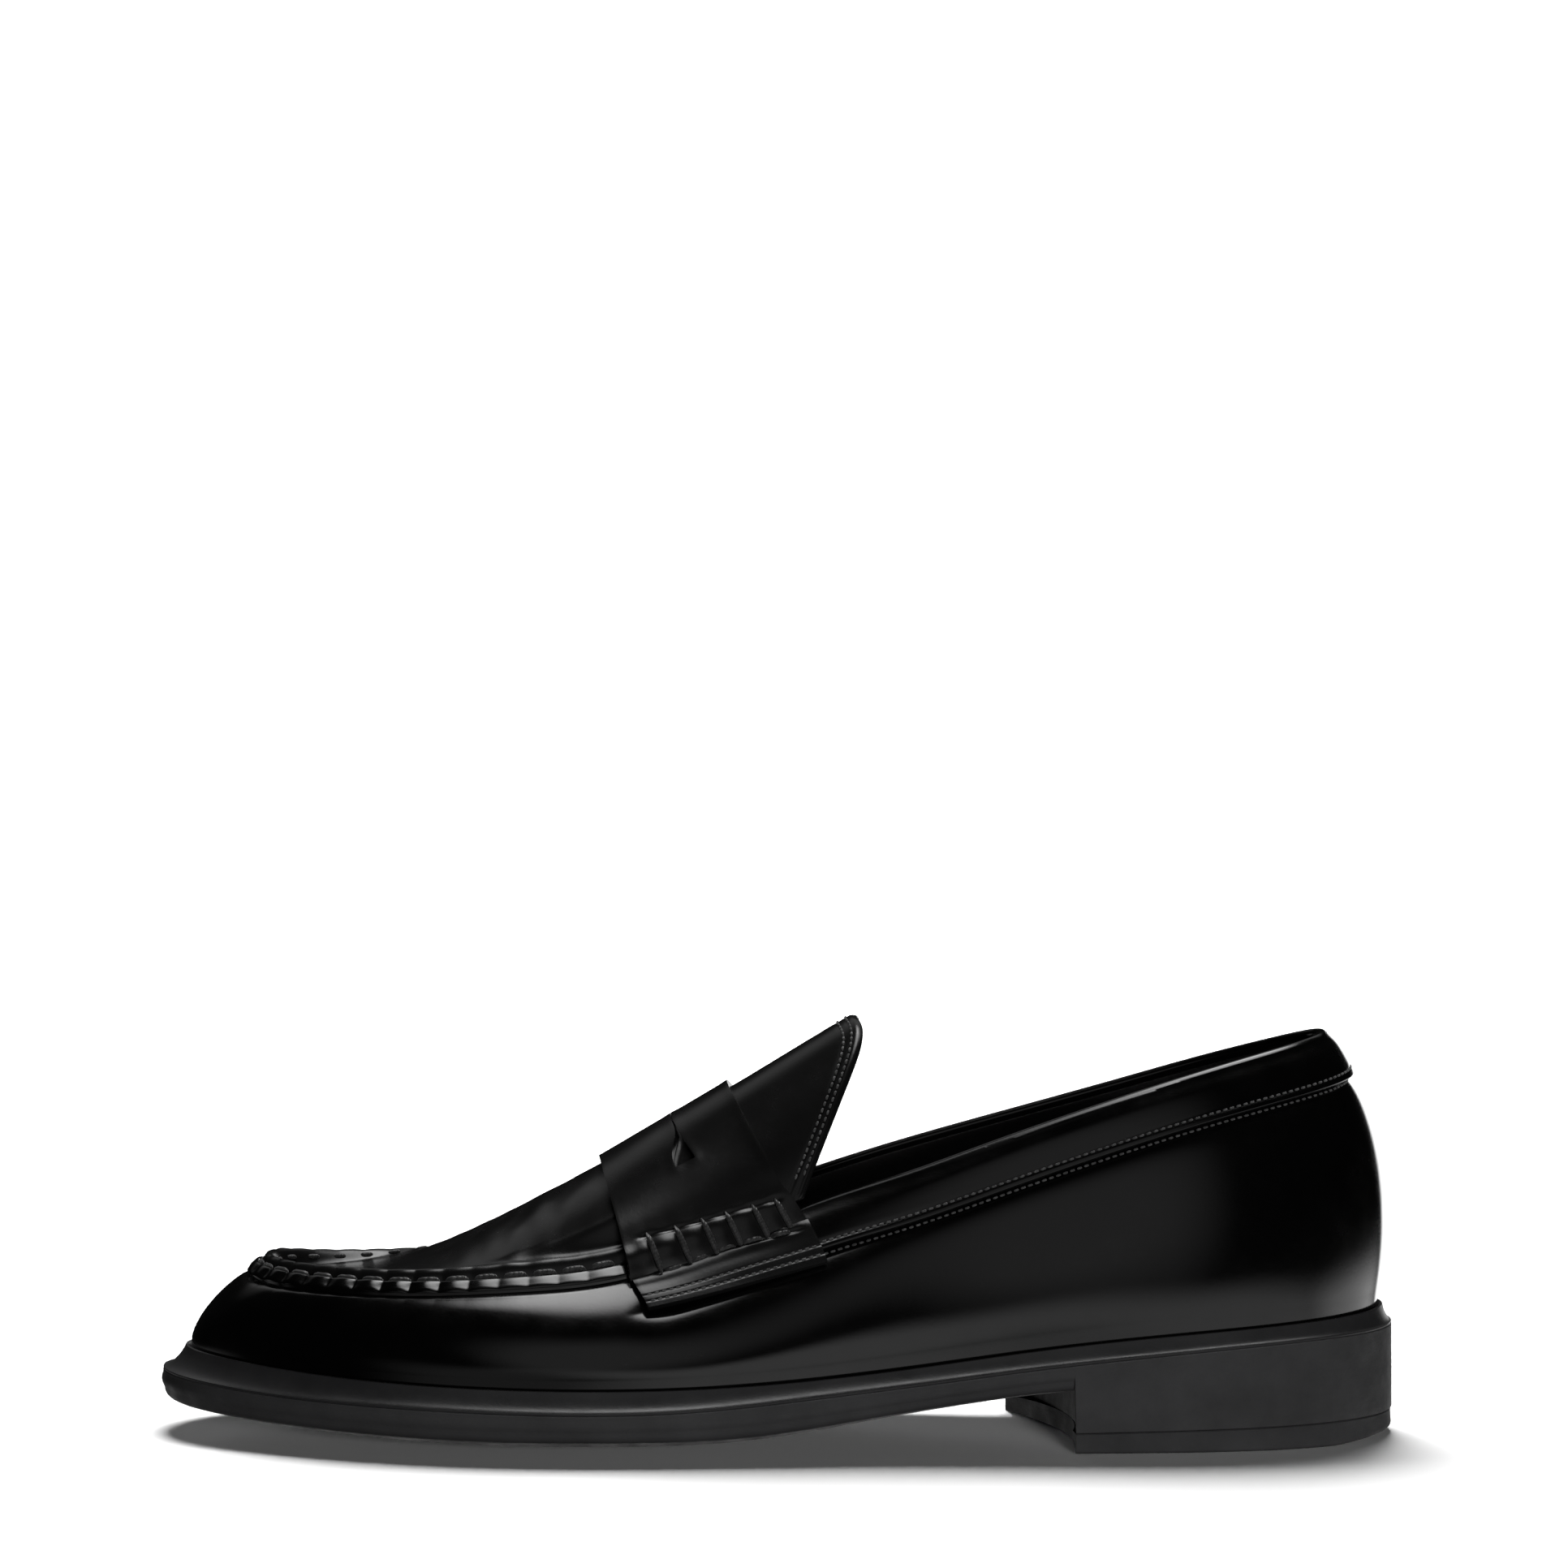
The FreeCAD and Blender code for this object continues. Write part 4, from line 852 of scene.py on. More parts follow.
def grid_solid(name, over, under, hole, material):
    """A sheet between two grids. hole = (row from, row to, column from, column to) is left out."""
    rows, columns = over.shape[:2]
    cells = np.ones((rows - 1, columns - 1), bool)
    r0, r1, c0, c1 = hole
    cells[r0:r1, c0:c1] = False
    count = rows * columns
    faces = []
    for r in range(rows - 1):
        for c in range(columns - 1):
            if not cells[r, c]:
                continue
            a, b = r * columns + c, (r + 1) * columns + c
            faces.append((a, a + 1, b + 1, b))
            faces.append((count + a, count + b, count + b + 1, count + a + 1))
            for other, p, q in (((r - 1, c), a, a + 1), ((r + 1, c), b + 1, b),
                                ((r, c - 1), b, a), ((r, c + 1), a + 1, b + 1)):
                inside = 0 <= other[0] < rows - 1 and 0 <= other[1] < columns - 1
                if not (inside and cells[other]):
                    faces.append((q, p, count + p, count + q))
    piece = add_piece(name, np.concatenate([over.reshape(-1, 3), under.reshape(-1, 3)]), faces, material)
    mesh = piece.data
    work = bmesh.new()
    work.from_mesh(mesh)
    loose = [vert for vert in work.verts if not vert.link_faces]
    bmesh.ops.delete(work, geom=loose, context="VERTS")
    rim = [edge for edge in work.edges if edge.calc_face_angle(0) > math.radians(60)]
    bmesh.ops.bevel(work, geom=rim, offset=0.38 * MM, segments=3, profile=0.6, affect="EDGES",
                    clamp_overlap=True)
    work.to_mesh(mesh)
    work.free()
    mesh.shade_smooth()
    mesh.set_sharp_from_angle(angle=math.radians(50))
    return piece


def make_strap():
    """The saddle strap: a grid whose columns are drawn onto the two edges of the penny slot."""
    ks = np.concatenate([np.linspace(0, 9.5, 110), np.linspace(9.5, 22.5, 105)[1:],
                         np.linspace(22.5, STRAP_LAST, 110)[1:]])
    # Rows of the grid are moved onto the slot's two ends.
    middle = STRAP_LAST / 2
    steps_per_v = STRAP_TOP / 2 / STRAP_TOP_HALF
    slot_from, slot_to = middle - SLOT_REACH * steps_per_v, middle + SLOT_REACH * steps_per_v
    r0 = int(np.argmin(np.abs(ks - slot_from)))
    r1 = int(np.argmin(np.abs(ks - slot_to)))
    ks[r0], ks[r1] = slot_from, slot_to
    # The slot lies between the columns c0 and c1.
    columns = 45
    c0, c1 = 21, 26
    flat = np.linspace(0, 1, columns)
    v = np.abs(ks - middle) / steps_per_v
    front, rear = np.moveaxis(PENNY_SLOT(np.minimum(v, SLOT_REACH)), -1, 0)
    us = []
    for k_v, a, b in zip(v, front, rear):
        columns_here = np.interp(np.arange(columns), [0, c0, c1, columns - 1], [0, a, b, 1])
        share = 1 - float(ease(SLOT_REACH + 0.02, SLOT_REACH + 0.3, k_v))
        us.append(mix(flat, columns_here, share))
    us = np.array(us)
    k = np.broadcast_to(ks[:, None], us.shape)
    base = strap_face(us, k)
    normal = strap_face.normal(us, k)
    near_slot = np.minimum(np.abs(us - front[:, None]), np.abs(us - rear[:, None])) / 0.03
    raised = 0.10 * bump(0, 1.2, near_slot) * (1 - ease(SLOT_REACH, SLOT_REACH + 0.06, v))[:, None]
    over = base + normal * (strap_height(us, k) + raised)[..., None]
    under = base + normal * STRAP_LIFT
    piece = grid_solid("saddle_strap_leather", over, under, (r0, r1, c0, c1), soft_leather)
    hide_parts("saddle_strap")
    return piece


def make_ladder_thread(side):
    """Bars of thread over the strap's side, and the long stitches that join their feet."""
    rows = []
    for u in LADDER:
        low, high = ladder_reach(u)
        k = np.linspace(low, high, 40)
        k = k if side == "outer" else STRAP_LAST - k
        path = strap_face(u, k)
        normal = strap_face.normal(u, k)
        path = path + normal * (STRAP_LIFT + STRAP_LEATHER + 0.35)
        length = lengths(path)[-1]
        rows.append(stitches(path, normal, length, 1.04, 1.45, 0.95, 0.10, 1.0))
    foot = np.linspace(LADDER[0], LADDER[-1], 120)
    low, high = ladder_reach(foot)
    k = low if side == "outer" else STRAP_LAST - low
    path = strap_face(foot, k)
    normal = strap_face.normal(foot, k)
    path = path + normal * strap_height(foot, k)[:, None]
    span = lengths(path)[-1] / (len(LADDER) - 1)
    rows.append(stitches(path, normal, span * 0.999, 0.80, 1.3, 1.0, 0.55, 0.5))
    piece = stitches_piece("ladder_thread_" + side, rows, thread_coarse)
    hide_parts("ladder_stitches_" + side)
    return piece


def make_hem_thread(side):
    """The fine stitch rows along the strap's hem."""
    rows = []
    for hem in HEM_ROWS:
        u = np.linspace(0.02, 0.98, 120)
        k = np.full_like(u, hem if side == "outer" else STRAP_LAST - hem)
        normal = strap_face.normal(u, k)
        path = strap_face(u, k) + normal * strap_height(u, k)[:, None]
        rows.append(fine_stitches(path, normal, 0.32))
    piece = stitches_piece("strap_hem_thread_" + side, rows, thread_fine)
    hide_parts("strap_hem_stitches_" + side)
    return piece


# ---------------------------------------------------------------- collar
COLLAR_FROM = INNER_STRAP_REAR - 0.32
COLLAR_TO = AROUND + OUTER_STRAP_REAR + 0.32


def below_top(s, depth):
    """The t of the wall a given way below the top edge."""
    low, high = np.full_like(s, 0.4), np.ones_like(s)
    top = top_edge(s)
    for _ in range(22):
        middle = (low + high) / 2
        far = np.linalg.norm(wall_face(s, middle) - top, axis=-1) > depth
        low = np.where(far, middle, low)
        high = np.where(far, high, middle)
    return low


def make_collar():
    """The band round the mouth: up the wall, rolled over its top edge and a little way down inside."""
    s = np.arange(COLLAR_FROM, COLLAR_TO, 0.06)
    over, under = [], []
    for depth in np.concatenate([np.linspace(COLLAR_DEPTH, 9.0, 10), np.linspace(9.0, 0.0, 14)[1:]]):
        t = below_top(s, depth) if depth > 0 else 1.0
        swell = COLLAR_LEATHER + 0.1 + 0.12 * bump(5.5, 3.0, depth) - 0.45 * (1 - ease(0.0, 4.0, depth))
        swell -= 0.20 * bump(COLLAR_DEPTH - COLLAR_STITCH_RISE, 0.45, depth)
        over.append(wall(s, t, swell))
        under.append(wall(s, t, 0.1))
    side = outward(s)
    centre = wall(s, 1.0, -0.75)
    for turn in np.radians(np.arange(25, 176, 25)):
        way = side * math.cos(turn) + UP * math.sin(turn)
        over.append(centre + way * 1.35)
        under.append(centre + way * 0.75)
    for drop in (1.5, 3.0, 4.5):
        t = below_top(s, drop)
        over.append(wall(s, t, -UPPER_LEATHER - 0.75))
        under.append(wall(s, t, -UPPER_LEATHER - 0.1))
    piece = sheet_piece("collar_leather", np.stack(over, axis=1), np.stack(under, axis=1), leather)
    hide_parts("collar_band")
    return piece


def make_collar_thread():
    """One fine row on the collar band and one on the skirt just below it."""
    rows = []
    s = np.arange(COLLAR_FROM + 0.1, COLLAR_TO - 0.1, 0.04)
    upper = COLLAR_DEPTH - COLLAR_STITCH_RISE
    lower = COLLAR_DEPTH + 0.9
    for depth, height in ((upper, COLLAR_LEATHER - 0.05), (lower, collar_dip(lower))):
        t = below_top(s, depth)
        rows.append(fine_stitches(wall(s, t, height), wall_normal(s, t)))
    piece = stitches_piece("collar_thread", rows, thread_fine)
    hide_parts("collar_stitches")
    return piece


# ---------------------------------------------------------------- tongue
# The row of the cover at which the tongue ends, by how far away from its middle.
tongue_rim = single(Curve([(0.0, 12.04), (0.12, 12.05), (0.22, 12.04), (0.35, 11.92), (0.5, 11.60),
                           (0.65, 11.16), (0.8, 10.66), (0.9, 10.33), (0.96, 10.15)], by_x=True))
TONGUE_ROOT_ROW = 8.7
TONGUE_HALF = 0.945
TONGUE_STITCH_INSETS = (0.14, 0.27)


def tongue_grid(root, inset, half, height):
    """A grid from the row root back to the tongue's rim, at a height above the forepart's top."""
    v = np.linspace(-half, half, 101)
    rim = tongue_rim(np.abs(v)) - inset
    part = np.linspace(0, 1, 90)
    u = root + (rim[:, None] - root) * part[None, :]
    v = np.broadcast_to(v[:, None], u.shape)
    return cover(u, v, height(u, v, rim[:, None]))


def tongue_skin(u, v, rim):
    """A faint wave, a hollow along both stitch rows and a rounded rim."""
    hollow = sum(bump(inset, 0.045, rim - u) for inset in TONGUE_STITCH_INSETS)
    turned = np.clip(1 - (rim - u) / 0.10, 0, 1) ** 2
    return 0.08 * np.sin(3.2 * v + 2.1 * u) - 0.12 * hollow + 0.05 - 0.9 * turned


def make_tongue():
    """One sheet of leather for the sewn-down base and the free flap of the tongue."""
    over = tongue_grid(TONGUE_ROOT_ROW, 0.0, TONGUE_HALF, tongue_skin)
    under = tongue_grid(TONGUE_ROOT_ROW, 0.0, TONGUE_HALF, lambda *_: -UPPER_LEATHER)
    piece = sheet_piece("tongue_leather", over, under, soft_leather)
    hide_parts("tongue_base", "tongue_flap")
    return piece


def make_tongue_lining():
    """A thinner leather under the free part of the tongue."""
    low = -UPPER_LEATHER - 0.08
    over = tongue_grid(STRAP_REAR_ROW + 0.06, 0.03, 0.78, lambda *_: low)
    under = tongue_grid(STRAP_REAR_ROW + 0.06, 0.03, 0.78, lambda *_: low - LINING)
    piece = sheet_piece("tongue_lining_leather", over, under, lining)
    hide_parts("tongue_lining")
    return piece


def make_tongue_thread():
    """Two fine stitch rows along the rim of the tongue."""
    rows = []
    v = np.linspace(-0.86, 0.86, 460)
    for inset in TONGUE_STITCH_INSETS:
        rim = tongue_rim(np.abs(v)) - inset
        rows.append(fine_stitches(cover(rim, v, 0.02), cover_normal(rim, v)))
    piece = stitches_piece("tongue_thread", rows, thread_fine)
    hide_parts("tongue_stitches")
    return piece


# ---------------------------------------------------------------- linings and foot bed
def stiffened(s):
    """1 where a heel counter or toe puff lies in the wall, 0 between."""
    s = s % AROUND
    heel = 1 - ease(3.6, 4.6, s) * (1 - ease(AROUND - 4.6, AROUND - 3.6, s))
    toe = ease(11.4, 12.4, s) * (1 - ease(17.6, 18.6, s))
    return np.maximum(heel, toe)


def make_quarter_lining(side, start, end):
    """A lining inside the wall between two round places. It steps in over the heel counter."""
    s = np.arange(start, end, 0.1)
    depth = UPPER_LEATHER + 0.2 + 1.3 * stiffened(s)
    over, under = [], []
    for t in np.linspace(0.03, 0.985, 26):
        skin = mix(depth, UPPER_LEATHER + 0.25, ease(0.93, 1.0, t))
        over.append(wall(s, t, -skin))
        under.append(wall(s, t, -skin - LINING))
    name = f"quarter_lining_{side}"
    piece = sheet_piece(name + "_leather", np.stack(over, axis=1), np.stack(under, axis=1), lining)
    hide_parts(name)
    return piece


def make_apron_lining():
    """The lining under the plug, which it follows down at the toe."""
    u = np.linspace(2.9, 9.1, 60)[:, None]
    v = np.linspace(-0.62, 0.62, 60)[None, :]
    low = -UPPER_LEATHER - 0.5
    over = cover(u, v, low)
    under = cover(u, v, low - LINING)
    for face in (over, under):
        face[..., 2] -= toe_hollow(face[..., 0]) + 0.8 * ease(0.35, 0.6, np.abs(v))
    piece = sheet_piece("apron_lining_cloth", over, under, lining)
    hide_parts("apron_lining")
    return piece


def foot_bed(name, inset, low, high, material, stop=AROUND / 2):
    """A pad on the foot bed from the heel forward, between two heights above the feather edge."""
    outer_s = stop * crowded(120, 1.2)

    def rim(s):
        rows = []
        for extra, height in ((0.5, 1.0), (0.12, 0.9), (0.0, 0.6), (0.0, 0.35), (0.12, 0.1), (0.5, 0.0)):
            at = feather(s, -inset(s) - extra)
            at[:, 2] += mix(low(at[:, 0]), high(at[:, 0]), height)
            rows.append(at)
        return np.stack(rows, axis=1)

    outer, inner = rim(outer_s), rim(AROUND - outer_s)
    lid = fill_between(outer[:, 0], inner[:, 0], 22)
    floor = fill_between(outer[:, -1], inner[:, -1], 22)
    loops = np.concatenate([outer, floor, inner[:, ::-1], lid[:, ::-1]], axis=1)
    loops = np.roll(loops, -3, axis=1)
    return loops_piece(name, loops, material, caps=(False, stop < AROUND / 2), sharp_angle=60)


def bed_inset(s):
    """How far inside the feather edge the foot bed ends. It reaches further where the waist flares."""
    flare = 1.2 * bump(23.6, 2.2, s) + 0.8 * bump(6.6, 1.8, s)
    return UPPER_LEATHER + LINING + 0.4 + 1.3 * stiffened(s) - flare


def pad_rise(x):
    """How much the heel pad lifts the sock."""
    return (PAD_THICKNESS + 0.2) * (1 - ease(-70, -50, x))


def make_sock():
    """The sock liner, which rises over the heel pad."""
    piece = foot_bed("sock", lambda s: bed_inset(s) + 0.9, lambda x: SOCK_LOW + pad_rise(x),
                     lambda x: SOCK_LOW + SOCK_THICKNESS + pad_rise(x), sock_leather)
    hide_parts("sock_liner")
    return piece


def make_heel_cushion():
    """The foam pad under the sock at the heel."""
    piece = foot_bed("heel_cushion", lambda s: bed_inset(s) + 2.5, lambda x: SOCK_LOW,
                     lambda x: SOCK_LOW + PAD_THICKNESS * (1 - 0.6 * ease(-84, -73, x)), foam, stop=3.9)
    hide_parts("heel_pad")
    return piece


# ---------------------------------------------------------------- materials
def add_node(tree, kind, **inputs):
    """A shader node with inputs set to values, or linked where the value is an output."""
    node = tree.nodes.new("ShaderNode" + kind)
    for name, value in inputs.items():
        socket = node.inputs[name.replace("_", " ")]
        if isinstance(value, bpy.types.NodeSocket):
            tree.links.new(value, socket)
        else:
            socket.default_value = value
    return node


class Finish:
    """Builds one procedural material: nodes are added and linked as they are named."""

    def __init__(self, name):
        self.material = bpy.data.materials.new(name)
        self.material.use_nodes = True
        self.tree = self.material.node_tree
        self.shader = self.tree.nodes["Principled BSDF"]
        self.place = add_node(self.tree, "TexCoord").outputs["Object"]

    def link(self, source, name):
        self.tree.links.new(source, self.shader.inputs[name])

    def stretched(self, stretch):
        if stretch is None:
            return self.place
        return add_node(self.tree, "Mapping", Scale=stretch, Vector=self.place).outputs["Vector"]

    def noise(self, scale, detail=3.0, rough=0.5, stretch=None):
        node = add_node(self.tree, "TexNoise", Scale=scale, Detail=detail, Roughness=rough,
                        Vector=self.stretched(stretch))
        return node.outputs["Fac"]

    def cells(self, scale, stretch=None):
        node = add_node(self.tree, "TexVoronoi", Scale=scale, Vector=self.stretched(stretch))
        return node.outputs["Distance"]

    def twist(self, scale):
        """Slanting bands, like the strands of a twisted thread."""
        node = add_node(self.tree, "TexWave", Scale=scale, Distortion=0.6, Vector=self.place)
        node.bands_direction = "DIAGONAL"
        return node.outputs["Fac"]

    def between(self, value, low_at, high_at, low, high):
        node = add_node(self.tree, "MapRange", Value=value, From_Min=low_at, From_Max=high_at,
                        To_Min=low, To_Max=high)
        return node.outputs["Result"]

    def colour(self, value, low, high):
        node = add_node(self.tree, "ValToRGB", Fac=value)
        for element, at, shade in zip(node.color_ramp.elements, (0.3, 0.7), (low, high)):
            element.position = at
            element.color = (*shade, 1)
        self.link(node.outputs["Color"], "Base Color")

    def gloss(self, value, low, high):
        self.link(self.between(value, 0.3, 0.7, low, high), "Roughness")

    def bumps(self, *layers):
        """Each layer is (height output, strength, depth in metres)."""
        last = {}
        for height, strength, depth in layers:
            node = add_node(self.tree, "Bump", Strength=strength, Distance=depth, Height=height, **last)
            last = {"Normal": node.outputs["Normal"]}
        self.link(last["Normal"], "Normal")

    def set(self, **values):
        for name, value in values.items():
            self.shader.inputs[name.replace("_", " ")].default_value = value
        return self.material


def polished_leather(name, low, high, coat, coat_rough, ripple):
    """Black leather with a clear shine over its own softer one."""
    finish = Finish(name)
    finish.colour(finish.noise(38.0, 4.0), (low, low, low), (high, high, high))
    finish.gloss(finish.noise(120.0, 5.0, 0.6), 0.16, 0.30)
    finish.bumps((finish.noise(26.0, 2.0), ripple, 0.0010), (finish.cells(1500.0), 0.10, 0.0001),
                 (finish.noise(700.0, 4.0, 0.65), 0.12, 0.00025))
    return finish.set(Specular_IOR_Level=0.15, Coat_Weight=coat, Coat_Roughness=coat_rough, Coat_IOR=1.5)


def lining_leather():
    """Dull black leather with fine pores."""
    finish = Finish("lining_leather")
    finish.colour(finish.noise(60.0, 5.0), (0.006, 0.006, 0.006), (0.013, 0.012, 0.012))
    finish.gloss(finish.noise(300.0, 3.0), 0.5, 0.68)
    finish.bumps((finish.cells(1100.0), 0.35, 0.0002), (finish.noise(500.0, 5.0, 0.6), 0.3, 0.0003))
    return finish.set()


def sock_finish():
    """The slightly worn black leather of the sock liner."""
    finish = Finish("sock_leather")
    finish.colour(finish.noise(45.0, 5.0), (0.009, 0.0088, 0.0085), (0.018, 0.017, 0.016))
    finish.gloss(finish.noise(200.0, 3.0), 0.42, 0.6)
    finish.bumps((finish.cells(900.0), 0.3, 0.00025), (finish.noise(90.0, 4.0), 0.2, 0.0006))
    return finish.set()


def rubber(name, low, high, rough_low, rough_high, grain):
    """Matte rubber with a fine grain and faint scuffs along the shoe."""
    finish = Finish(name)
    finish.colour(finish.noise(50.0, 6.0, 0.6), low, high)
    finish.gloss(finish.noise(180.0, 5.0, 0.6), rough_low, rough_high)
    scuffs = finish.noise(240.0, 3.0, 0.5, (0.25, 1.0, 3.0))
    finish.bumps((finish.noise(1400.0, 3.0, 0.6), grain, 0.0002), (scuffs, grain * 0.5, 0.0003))
    return finish.set(Specular_IOR_Level=0.4)


def thread_finish(name, pitch, low, high):
    """Waxed thread with a visible twist."""
    finish = Finish(name)
    finish.colour(finish.noise(800.0, 2.0), low, high)
    finish.gloss(finish.noise(900.0, 3.0), 0.25, 0.5)
    finish.bumps((finish.twist(pitch), 0.5, 0.0002), (finish.noise(3000.0, 2.0), 0.3, 0.0001))
    return finish.set(Sheen_Weight=0.05)


def plain_finish(name, low, high, rough, scale, stretch=None, metal=0.0):
    """Hidden pieces: fibre board, cork, foam and steel."""
    finish = Finish(name)
    finish.colour(finish.noise(scale, 6.0, 0.6, stretch), low, high)
    finish.gloss(finish.noise(scale * 3, 4.0), rough - 0.1, rough + 0.1)
    grain = finish.cells(scale * 8, stretch)
    finish.bumps((grain, 0.4, 0.0003), (finish.noise(scale * 12, 3.0), 0.3, 0.0002))
    return finish.set(Metallic=metal)


leather = polished_leather("polished_black_leather", 0.0005, 0.0010, 1.0, 0.10, 0.25)
soft_leather = polished_leather("soft_black_leather", 0.0030, 0.0045, 0.55, 0.22, 0.10)
lining = lining_leather()
sock_leather = sock_finish()
sole_rubber = rubber("sole_rubber", (0.022, 0.022, 0.0225), (0.033, 0.033, 0.034), 0.50, 0.68, 0.35)
welt_rubber = rubber("welt_rubber", (0.013, 0.013, 0.0135), (0.020, 0.020, 0.0205), 0.30, 0.42, 0.15)
lift_rubber = rubber("lift_rubber", (0.020, 0.020, 0.0205), (0.031, 0.031, 0.032), 0.55, 0.72, 0.45)
thread_coarse = thread_finish("coarse_thread", 700.0, (0.010, 0.010, 0.010), (0.026, 0.026, 0.026))
thread_fine = thread_finish("fine_thread", 1500.0, (0.030, 0.030, 0.030), (0.070, 0.070, 0.070))
board = plain_finish("fibre_board", (0.30, 0.21, 0.12), (0.42, 0.31, 0.19), 0.8, 90.0)
cork = plain_finish("cork", (0.22, 0.13, 0.07), (0.42, 0.28, 0.16), 0.85, 160.0)
foam = plain_finish("foam", (0.55, 0.53, 0.48), (0.68, 0.66, 0.60), 0.9, 220.0)
stiff = plain_finish("stiffener", (0.50, 0.47, 0.40), (0.62, 0.58, 0.50), 0.7, 120.0)
steel = plain_finish("steel", (0.45, 0.45, 0.46), (0.60, 0.60, 0.61), 0.35, 60.0, (0.2, 3.0, 3.0), 1.0)
INNER_NODES = {"bottom_filler": cork, "insole_board": board, "shank": steel, "shank_rivets": steel,
               "heel_nails": steel, "heel_counter": stiff, "toe_puff": stiff, "heel_grip": lining,
               "vamp_lining": lining}

# ---------------------------------------------------------------- assembly
shoe_pieces = [make_sole_unit(), make_heel_lift(), make_welt(), make_skirt(), make_plug(),
               make_seam_thread(), make_strap(), make_collar(), make_collar_thread(), make_apron_lining(),
               make_quarter_lining("outer", 0.0, 8.95), make_quarter_lining("inner", 21.05, AROUND),
               make_sock(), make_heel_cushion()]
for side in ("outer", "inner"):
    shoe_pieces += [make_ladder_thread(side), make_hem_thread(side)]
for piece in shoe_pieces:
    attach(piece, "shoe")

# The tongue's pieces are not attached to the shoe's body; their placing is baked into their points.
for piece in (make_tongue(), make_tongue_lining(), make_tongue_thread()):
    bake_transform(piece)

for node, finish in INNER_NODES.items():
    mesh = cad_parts[node].data
    mesh.materials.clear()
    mesh.materials.append(finish)


# ---------------------------------------------------------------- floor, light and camera
BOWL_RADIUS = 2.7
BOWL_TURN = 0.9
BOWL_HEIGHT = 3.4
# The floor's own glow near the shoe and far from it, and the distances in metres between them.
NEAR_GLOW, FAR_GLOW = 0.0, 1.0
GLOW_FROM, GLOW_TO = 0.3, 1.3
ROOM_LIGHT = 0.003
# Each box: azimuth and elevation of its middle, half width and half height in degrees,
# strength, and how soft its edge is.
SOFT_BOXES = [(-100, 82, 24, 24, 5.5, 0.6), (-165, 68, 16, 15, 4.5, 0.6), (2, 13, 29, 38, 0.25, 0.6),
              (-38, -24, 46, 17, 0.6, 0.6), (-105, -19, 46, 13, 1.25, 0.6), (18, -20, 36, 18, 0.16, 0.6),
              (-158, -4, 16, 14, 1.5, 0.5), (150, -24, 60, 16, 0.6, 0.6), (-160, -26, 30, 16, 0.6, 0.6),
              (180, 42, 40, 20, 0.25, 0.6)]
# Each lamp: name, place and width in metres, power in watts.
LAMPS = [("overhead", (0.0, -0.9, 1.5), 0.8, 62.0), ("camera_side", (-0.3, 1.7, 0.16), 0.3, 24.0),
         ("far_side", (0.4, -1.7, 0.25), 0.4, 10.0)]
CAMERA_AZIMUTH = 5.0
CAMERA_ELEVATION = 4.25
CAMERA_ROLL = 0.5
CAMERA_AIM = Vector((0.0, 0.0, 0.1492))
CAMERA_DISTANCE = 1.9
CAMERA_LENS = 190.8


def make_floor():
    """A pale floor that sweeps up all round. It has a glow of its own and isn't mirrored in the leather."""
    finish = Finish("studio_floor")
    finish.colour(finish.noise(6.0, 2.0), (0.80, 0.80, 0.80), (0.82, 0.82, 0.82))
    finish.gloss(finish.noise(20.0, 2.0), 0.8, 0.9)
    finish.bumps((finish.noise(400.0, 2.0), 0.02, 0.0002))
    profile = [(0.0, 0.0), (0.5, 0.0), (1.0, 0.0), (BOWL_RADIUS - BOWL_TURN, 0.0)]
    for turn in np.linspace(0.1, math.pi / 2, 14):
        radius = BOWL_RADIUS + BOWL_TURN * (math.sin(turn) - 1.0)
        profile.append((radius, BOWL_TURN * (1.0 - math.cos(turn))))
    profile.append((BOWL_RADIUS, BOWL_HEIGHT))
    around = np.linspace(2.0 * math.pi, 0.0, 96, endpoint=False)
    points = [(r * math.cos(a), r * math.sin(a), z) for r, z in profile for a in around]
    mesh = bpy.data.meshes.new("floor")
    mesh.from_pydata(points, [], loop_faces(len(profile), len(around), caps=(False, False)))
    mesh.shade_smooth()
    far = finish.tree.nodes.new("ShaderNodeVectorMath")
    far.operation = "LENGTH"
    finish.tree.links.new(finish.place, far.inputs[0])
    glow = finish.between(far.outputs["Value"], GLOW_FROM, GLOW_TO, NEAR_GLOW, FAR_GLOW)
    finish.link(glow, "Emission Strength")
    mesh.materials.append(finish.set(Emission_Color=(1.0, 1.0, 1.0, 1.0), Specular_IOR_Level=0.0))
    floor = bpy.data.objects.new("floor", mesh)
    floor.visible_glossy = False
    floor.visible_diffuse = False
    floor.visible_shadow = False
    bpy.context.scene.collection.objects.link(floor)


def direction(azimuth, elevation):
    """Azimuth 0 is the outer side of the shoe, 90 its toe, -90 its heel."""
    a = math.radians(azimuth)
    e = math.radians(elevation)
    return (math.sin(a) * math.cos(e), math.cos(a) * math.cos(e), math.sin(e))


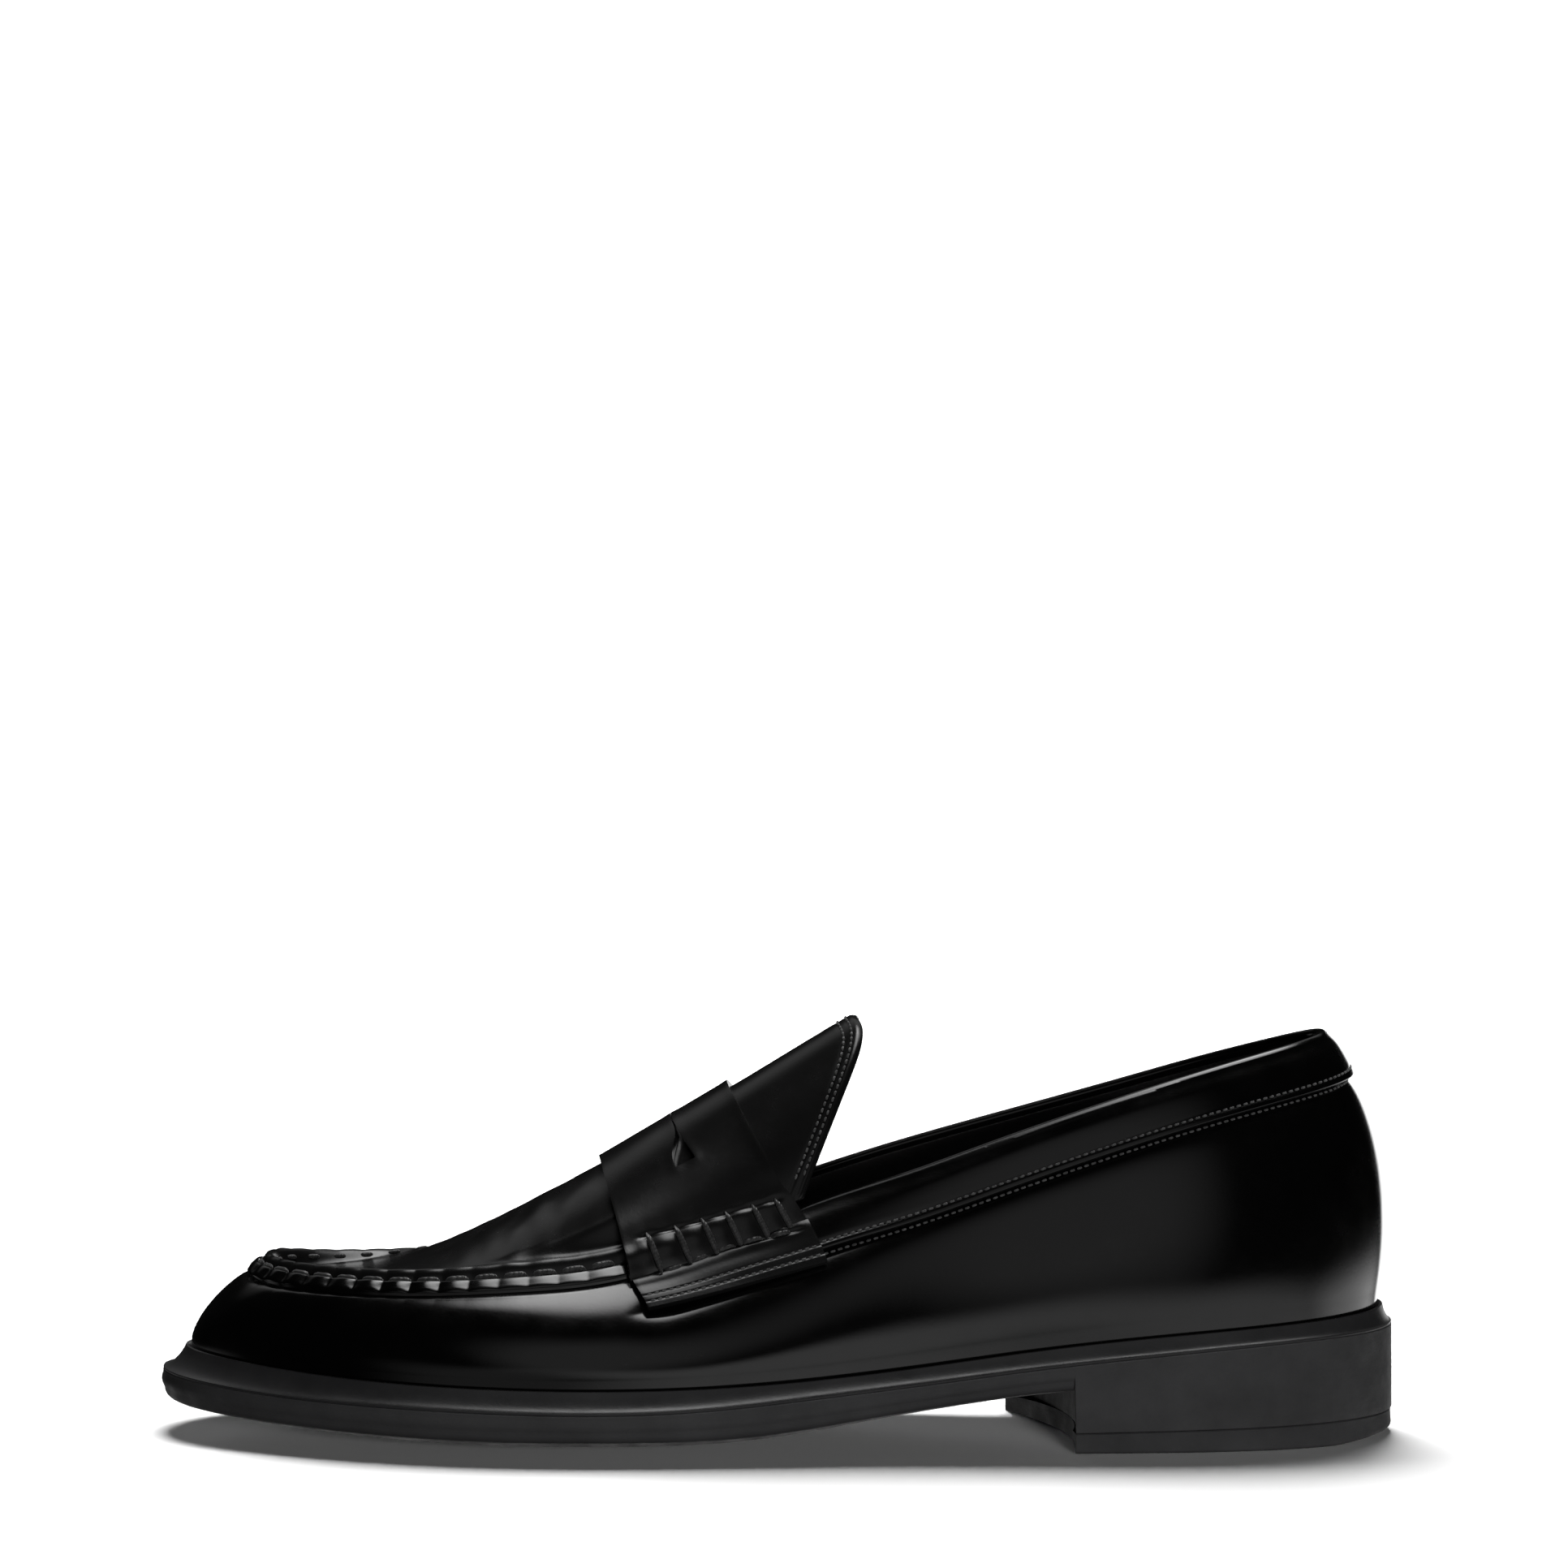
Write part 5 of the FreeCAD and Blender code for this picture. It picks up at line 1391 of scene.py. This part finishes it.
def make_world():
    """A dark studio with soft light boxes, given by direction."""
    world = bpy.data.worlds.new("studio")
    world.use_nodes = True
    tree = world.node_tree
    way = add_node(tree, "TexCoord").outputs["Generated"]
    total = add_node(tree, "Value").outputs[0]
    total.default_value = ROOM_LIGHT
    for azimuth, elevation, wide, tall, strength, edge in SOFT_BOXES:
        place = add_node(tree, "Mapping", Vector=way, Location=direction(azimuth, elevation),
                         Rotation=(math.radians(elevation), 0.0, -math.radians(azimuth)),
                         Scale=(math.radians(wide), 1.0, math.radians(tall)))
        place.vector_type = "TEXTURE"
        fall = add_node(tree, "TexGradient", Vector=place.outputs["Vector"])
        fall.gradient_type = "SPHERICAL"
        box = add_node(tree, "MapRange", Value=fall.outputs["Fac"], From_Max=edge, To_Max=strength)
        box.interpolation_type = "SMOOTHSTEP"
        add = tree.nodes.new("ShaderNodeMath")
        tree.links.new(total, add.inputs[0])
        tree.links.new(box.outputs["Result"], add.inputs[1])
        total = add.outputs["Value"]
    background = tree.nodes["Background"]
    background.inputs["Color"].default_value = (1.0, 1.0, 1.0, 1.0)
    tree.links.new(total, background.inputs["Strength"])
    # The boxes are for the shine alone: the lamps light the rest.
    world.cycles_visibility.diffuse = False
    bpy.context.scene.world = world


def area_light(name, place, size, power):
    """A square light that looks at the shoe and doesn't show in the leather."""
    light = bpy.data.lights.new(name, "AREA")
    light.size = size
    light.energy = power
    lamp = bpy.data.objects.new(name, light)
    lamp.location = place
    lamp.rotation_euler = (-Vector(place)).to_track_quat("-Z", "Y").to_euler()
    lamp.visible_glossy = False
    bpy.context.scene.collection.objects.link(lamp)


def make_camera():
    """Level with the shoe's outer side and a little above it, from far away with a long lens."""
    roll = math.radians(CAMERA_ROLL)
    back = Vector(direction(CAMERA_AZIMUTH, CAMERA_ELEVATION))
    right = Vector((-back.y, back.x, 0.0)).normalized()
    up = back.cross(right)
    turned_right = right * math.cos(roll) + up * math.sin(roll)
    turned_up = up * math.cos(roll) - right * math.sin(roll)
    axes = Matrix((turned_right, turned_up, back)).transposed().to_4x4()
    data = bpy.data.cameras.new("camera")
    data.lens = CAMERA_LENS
    data.clip_end = 20.0
    camera = bpy.data.objects.new("camera", data)
    camera.matrix_world = Matrix.Translation(CAMERA_AIM + back * CAMERA_DISTANCE) @ axes
    bpy.context.scene.collection.objects.link(camera)
    bpy.context.scene.camera = camera


make_floor()
make_world()
for lamp in LAMPS:
    area_light(*lamp)
bpy.context.scene.view_settings.view_transform = "Standard"
make_camera()
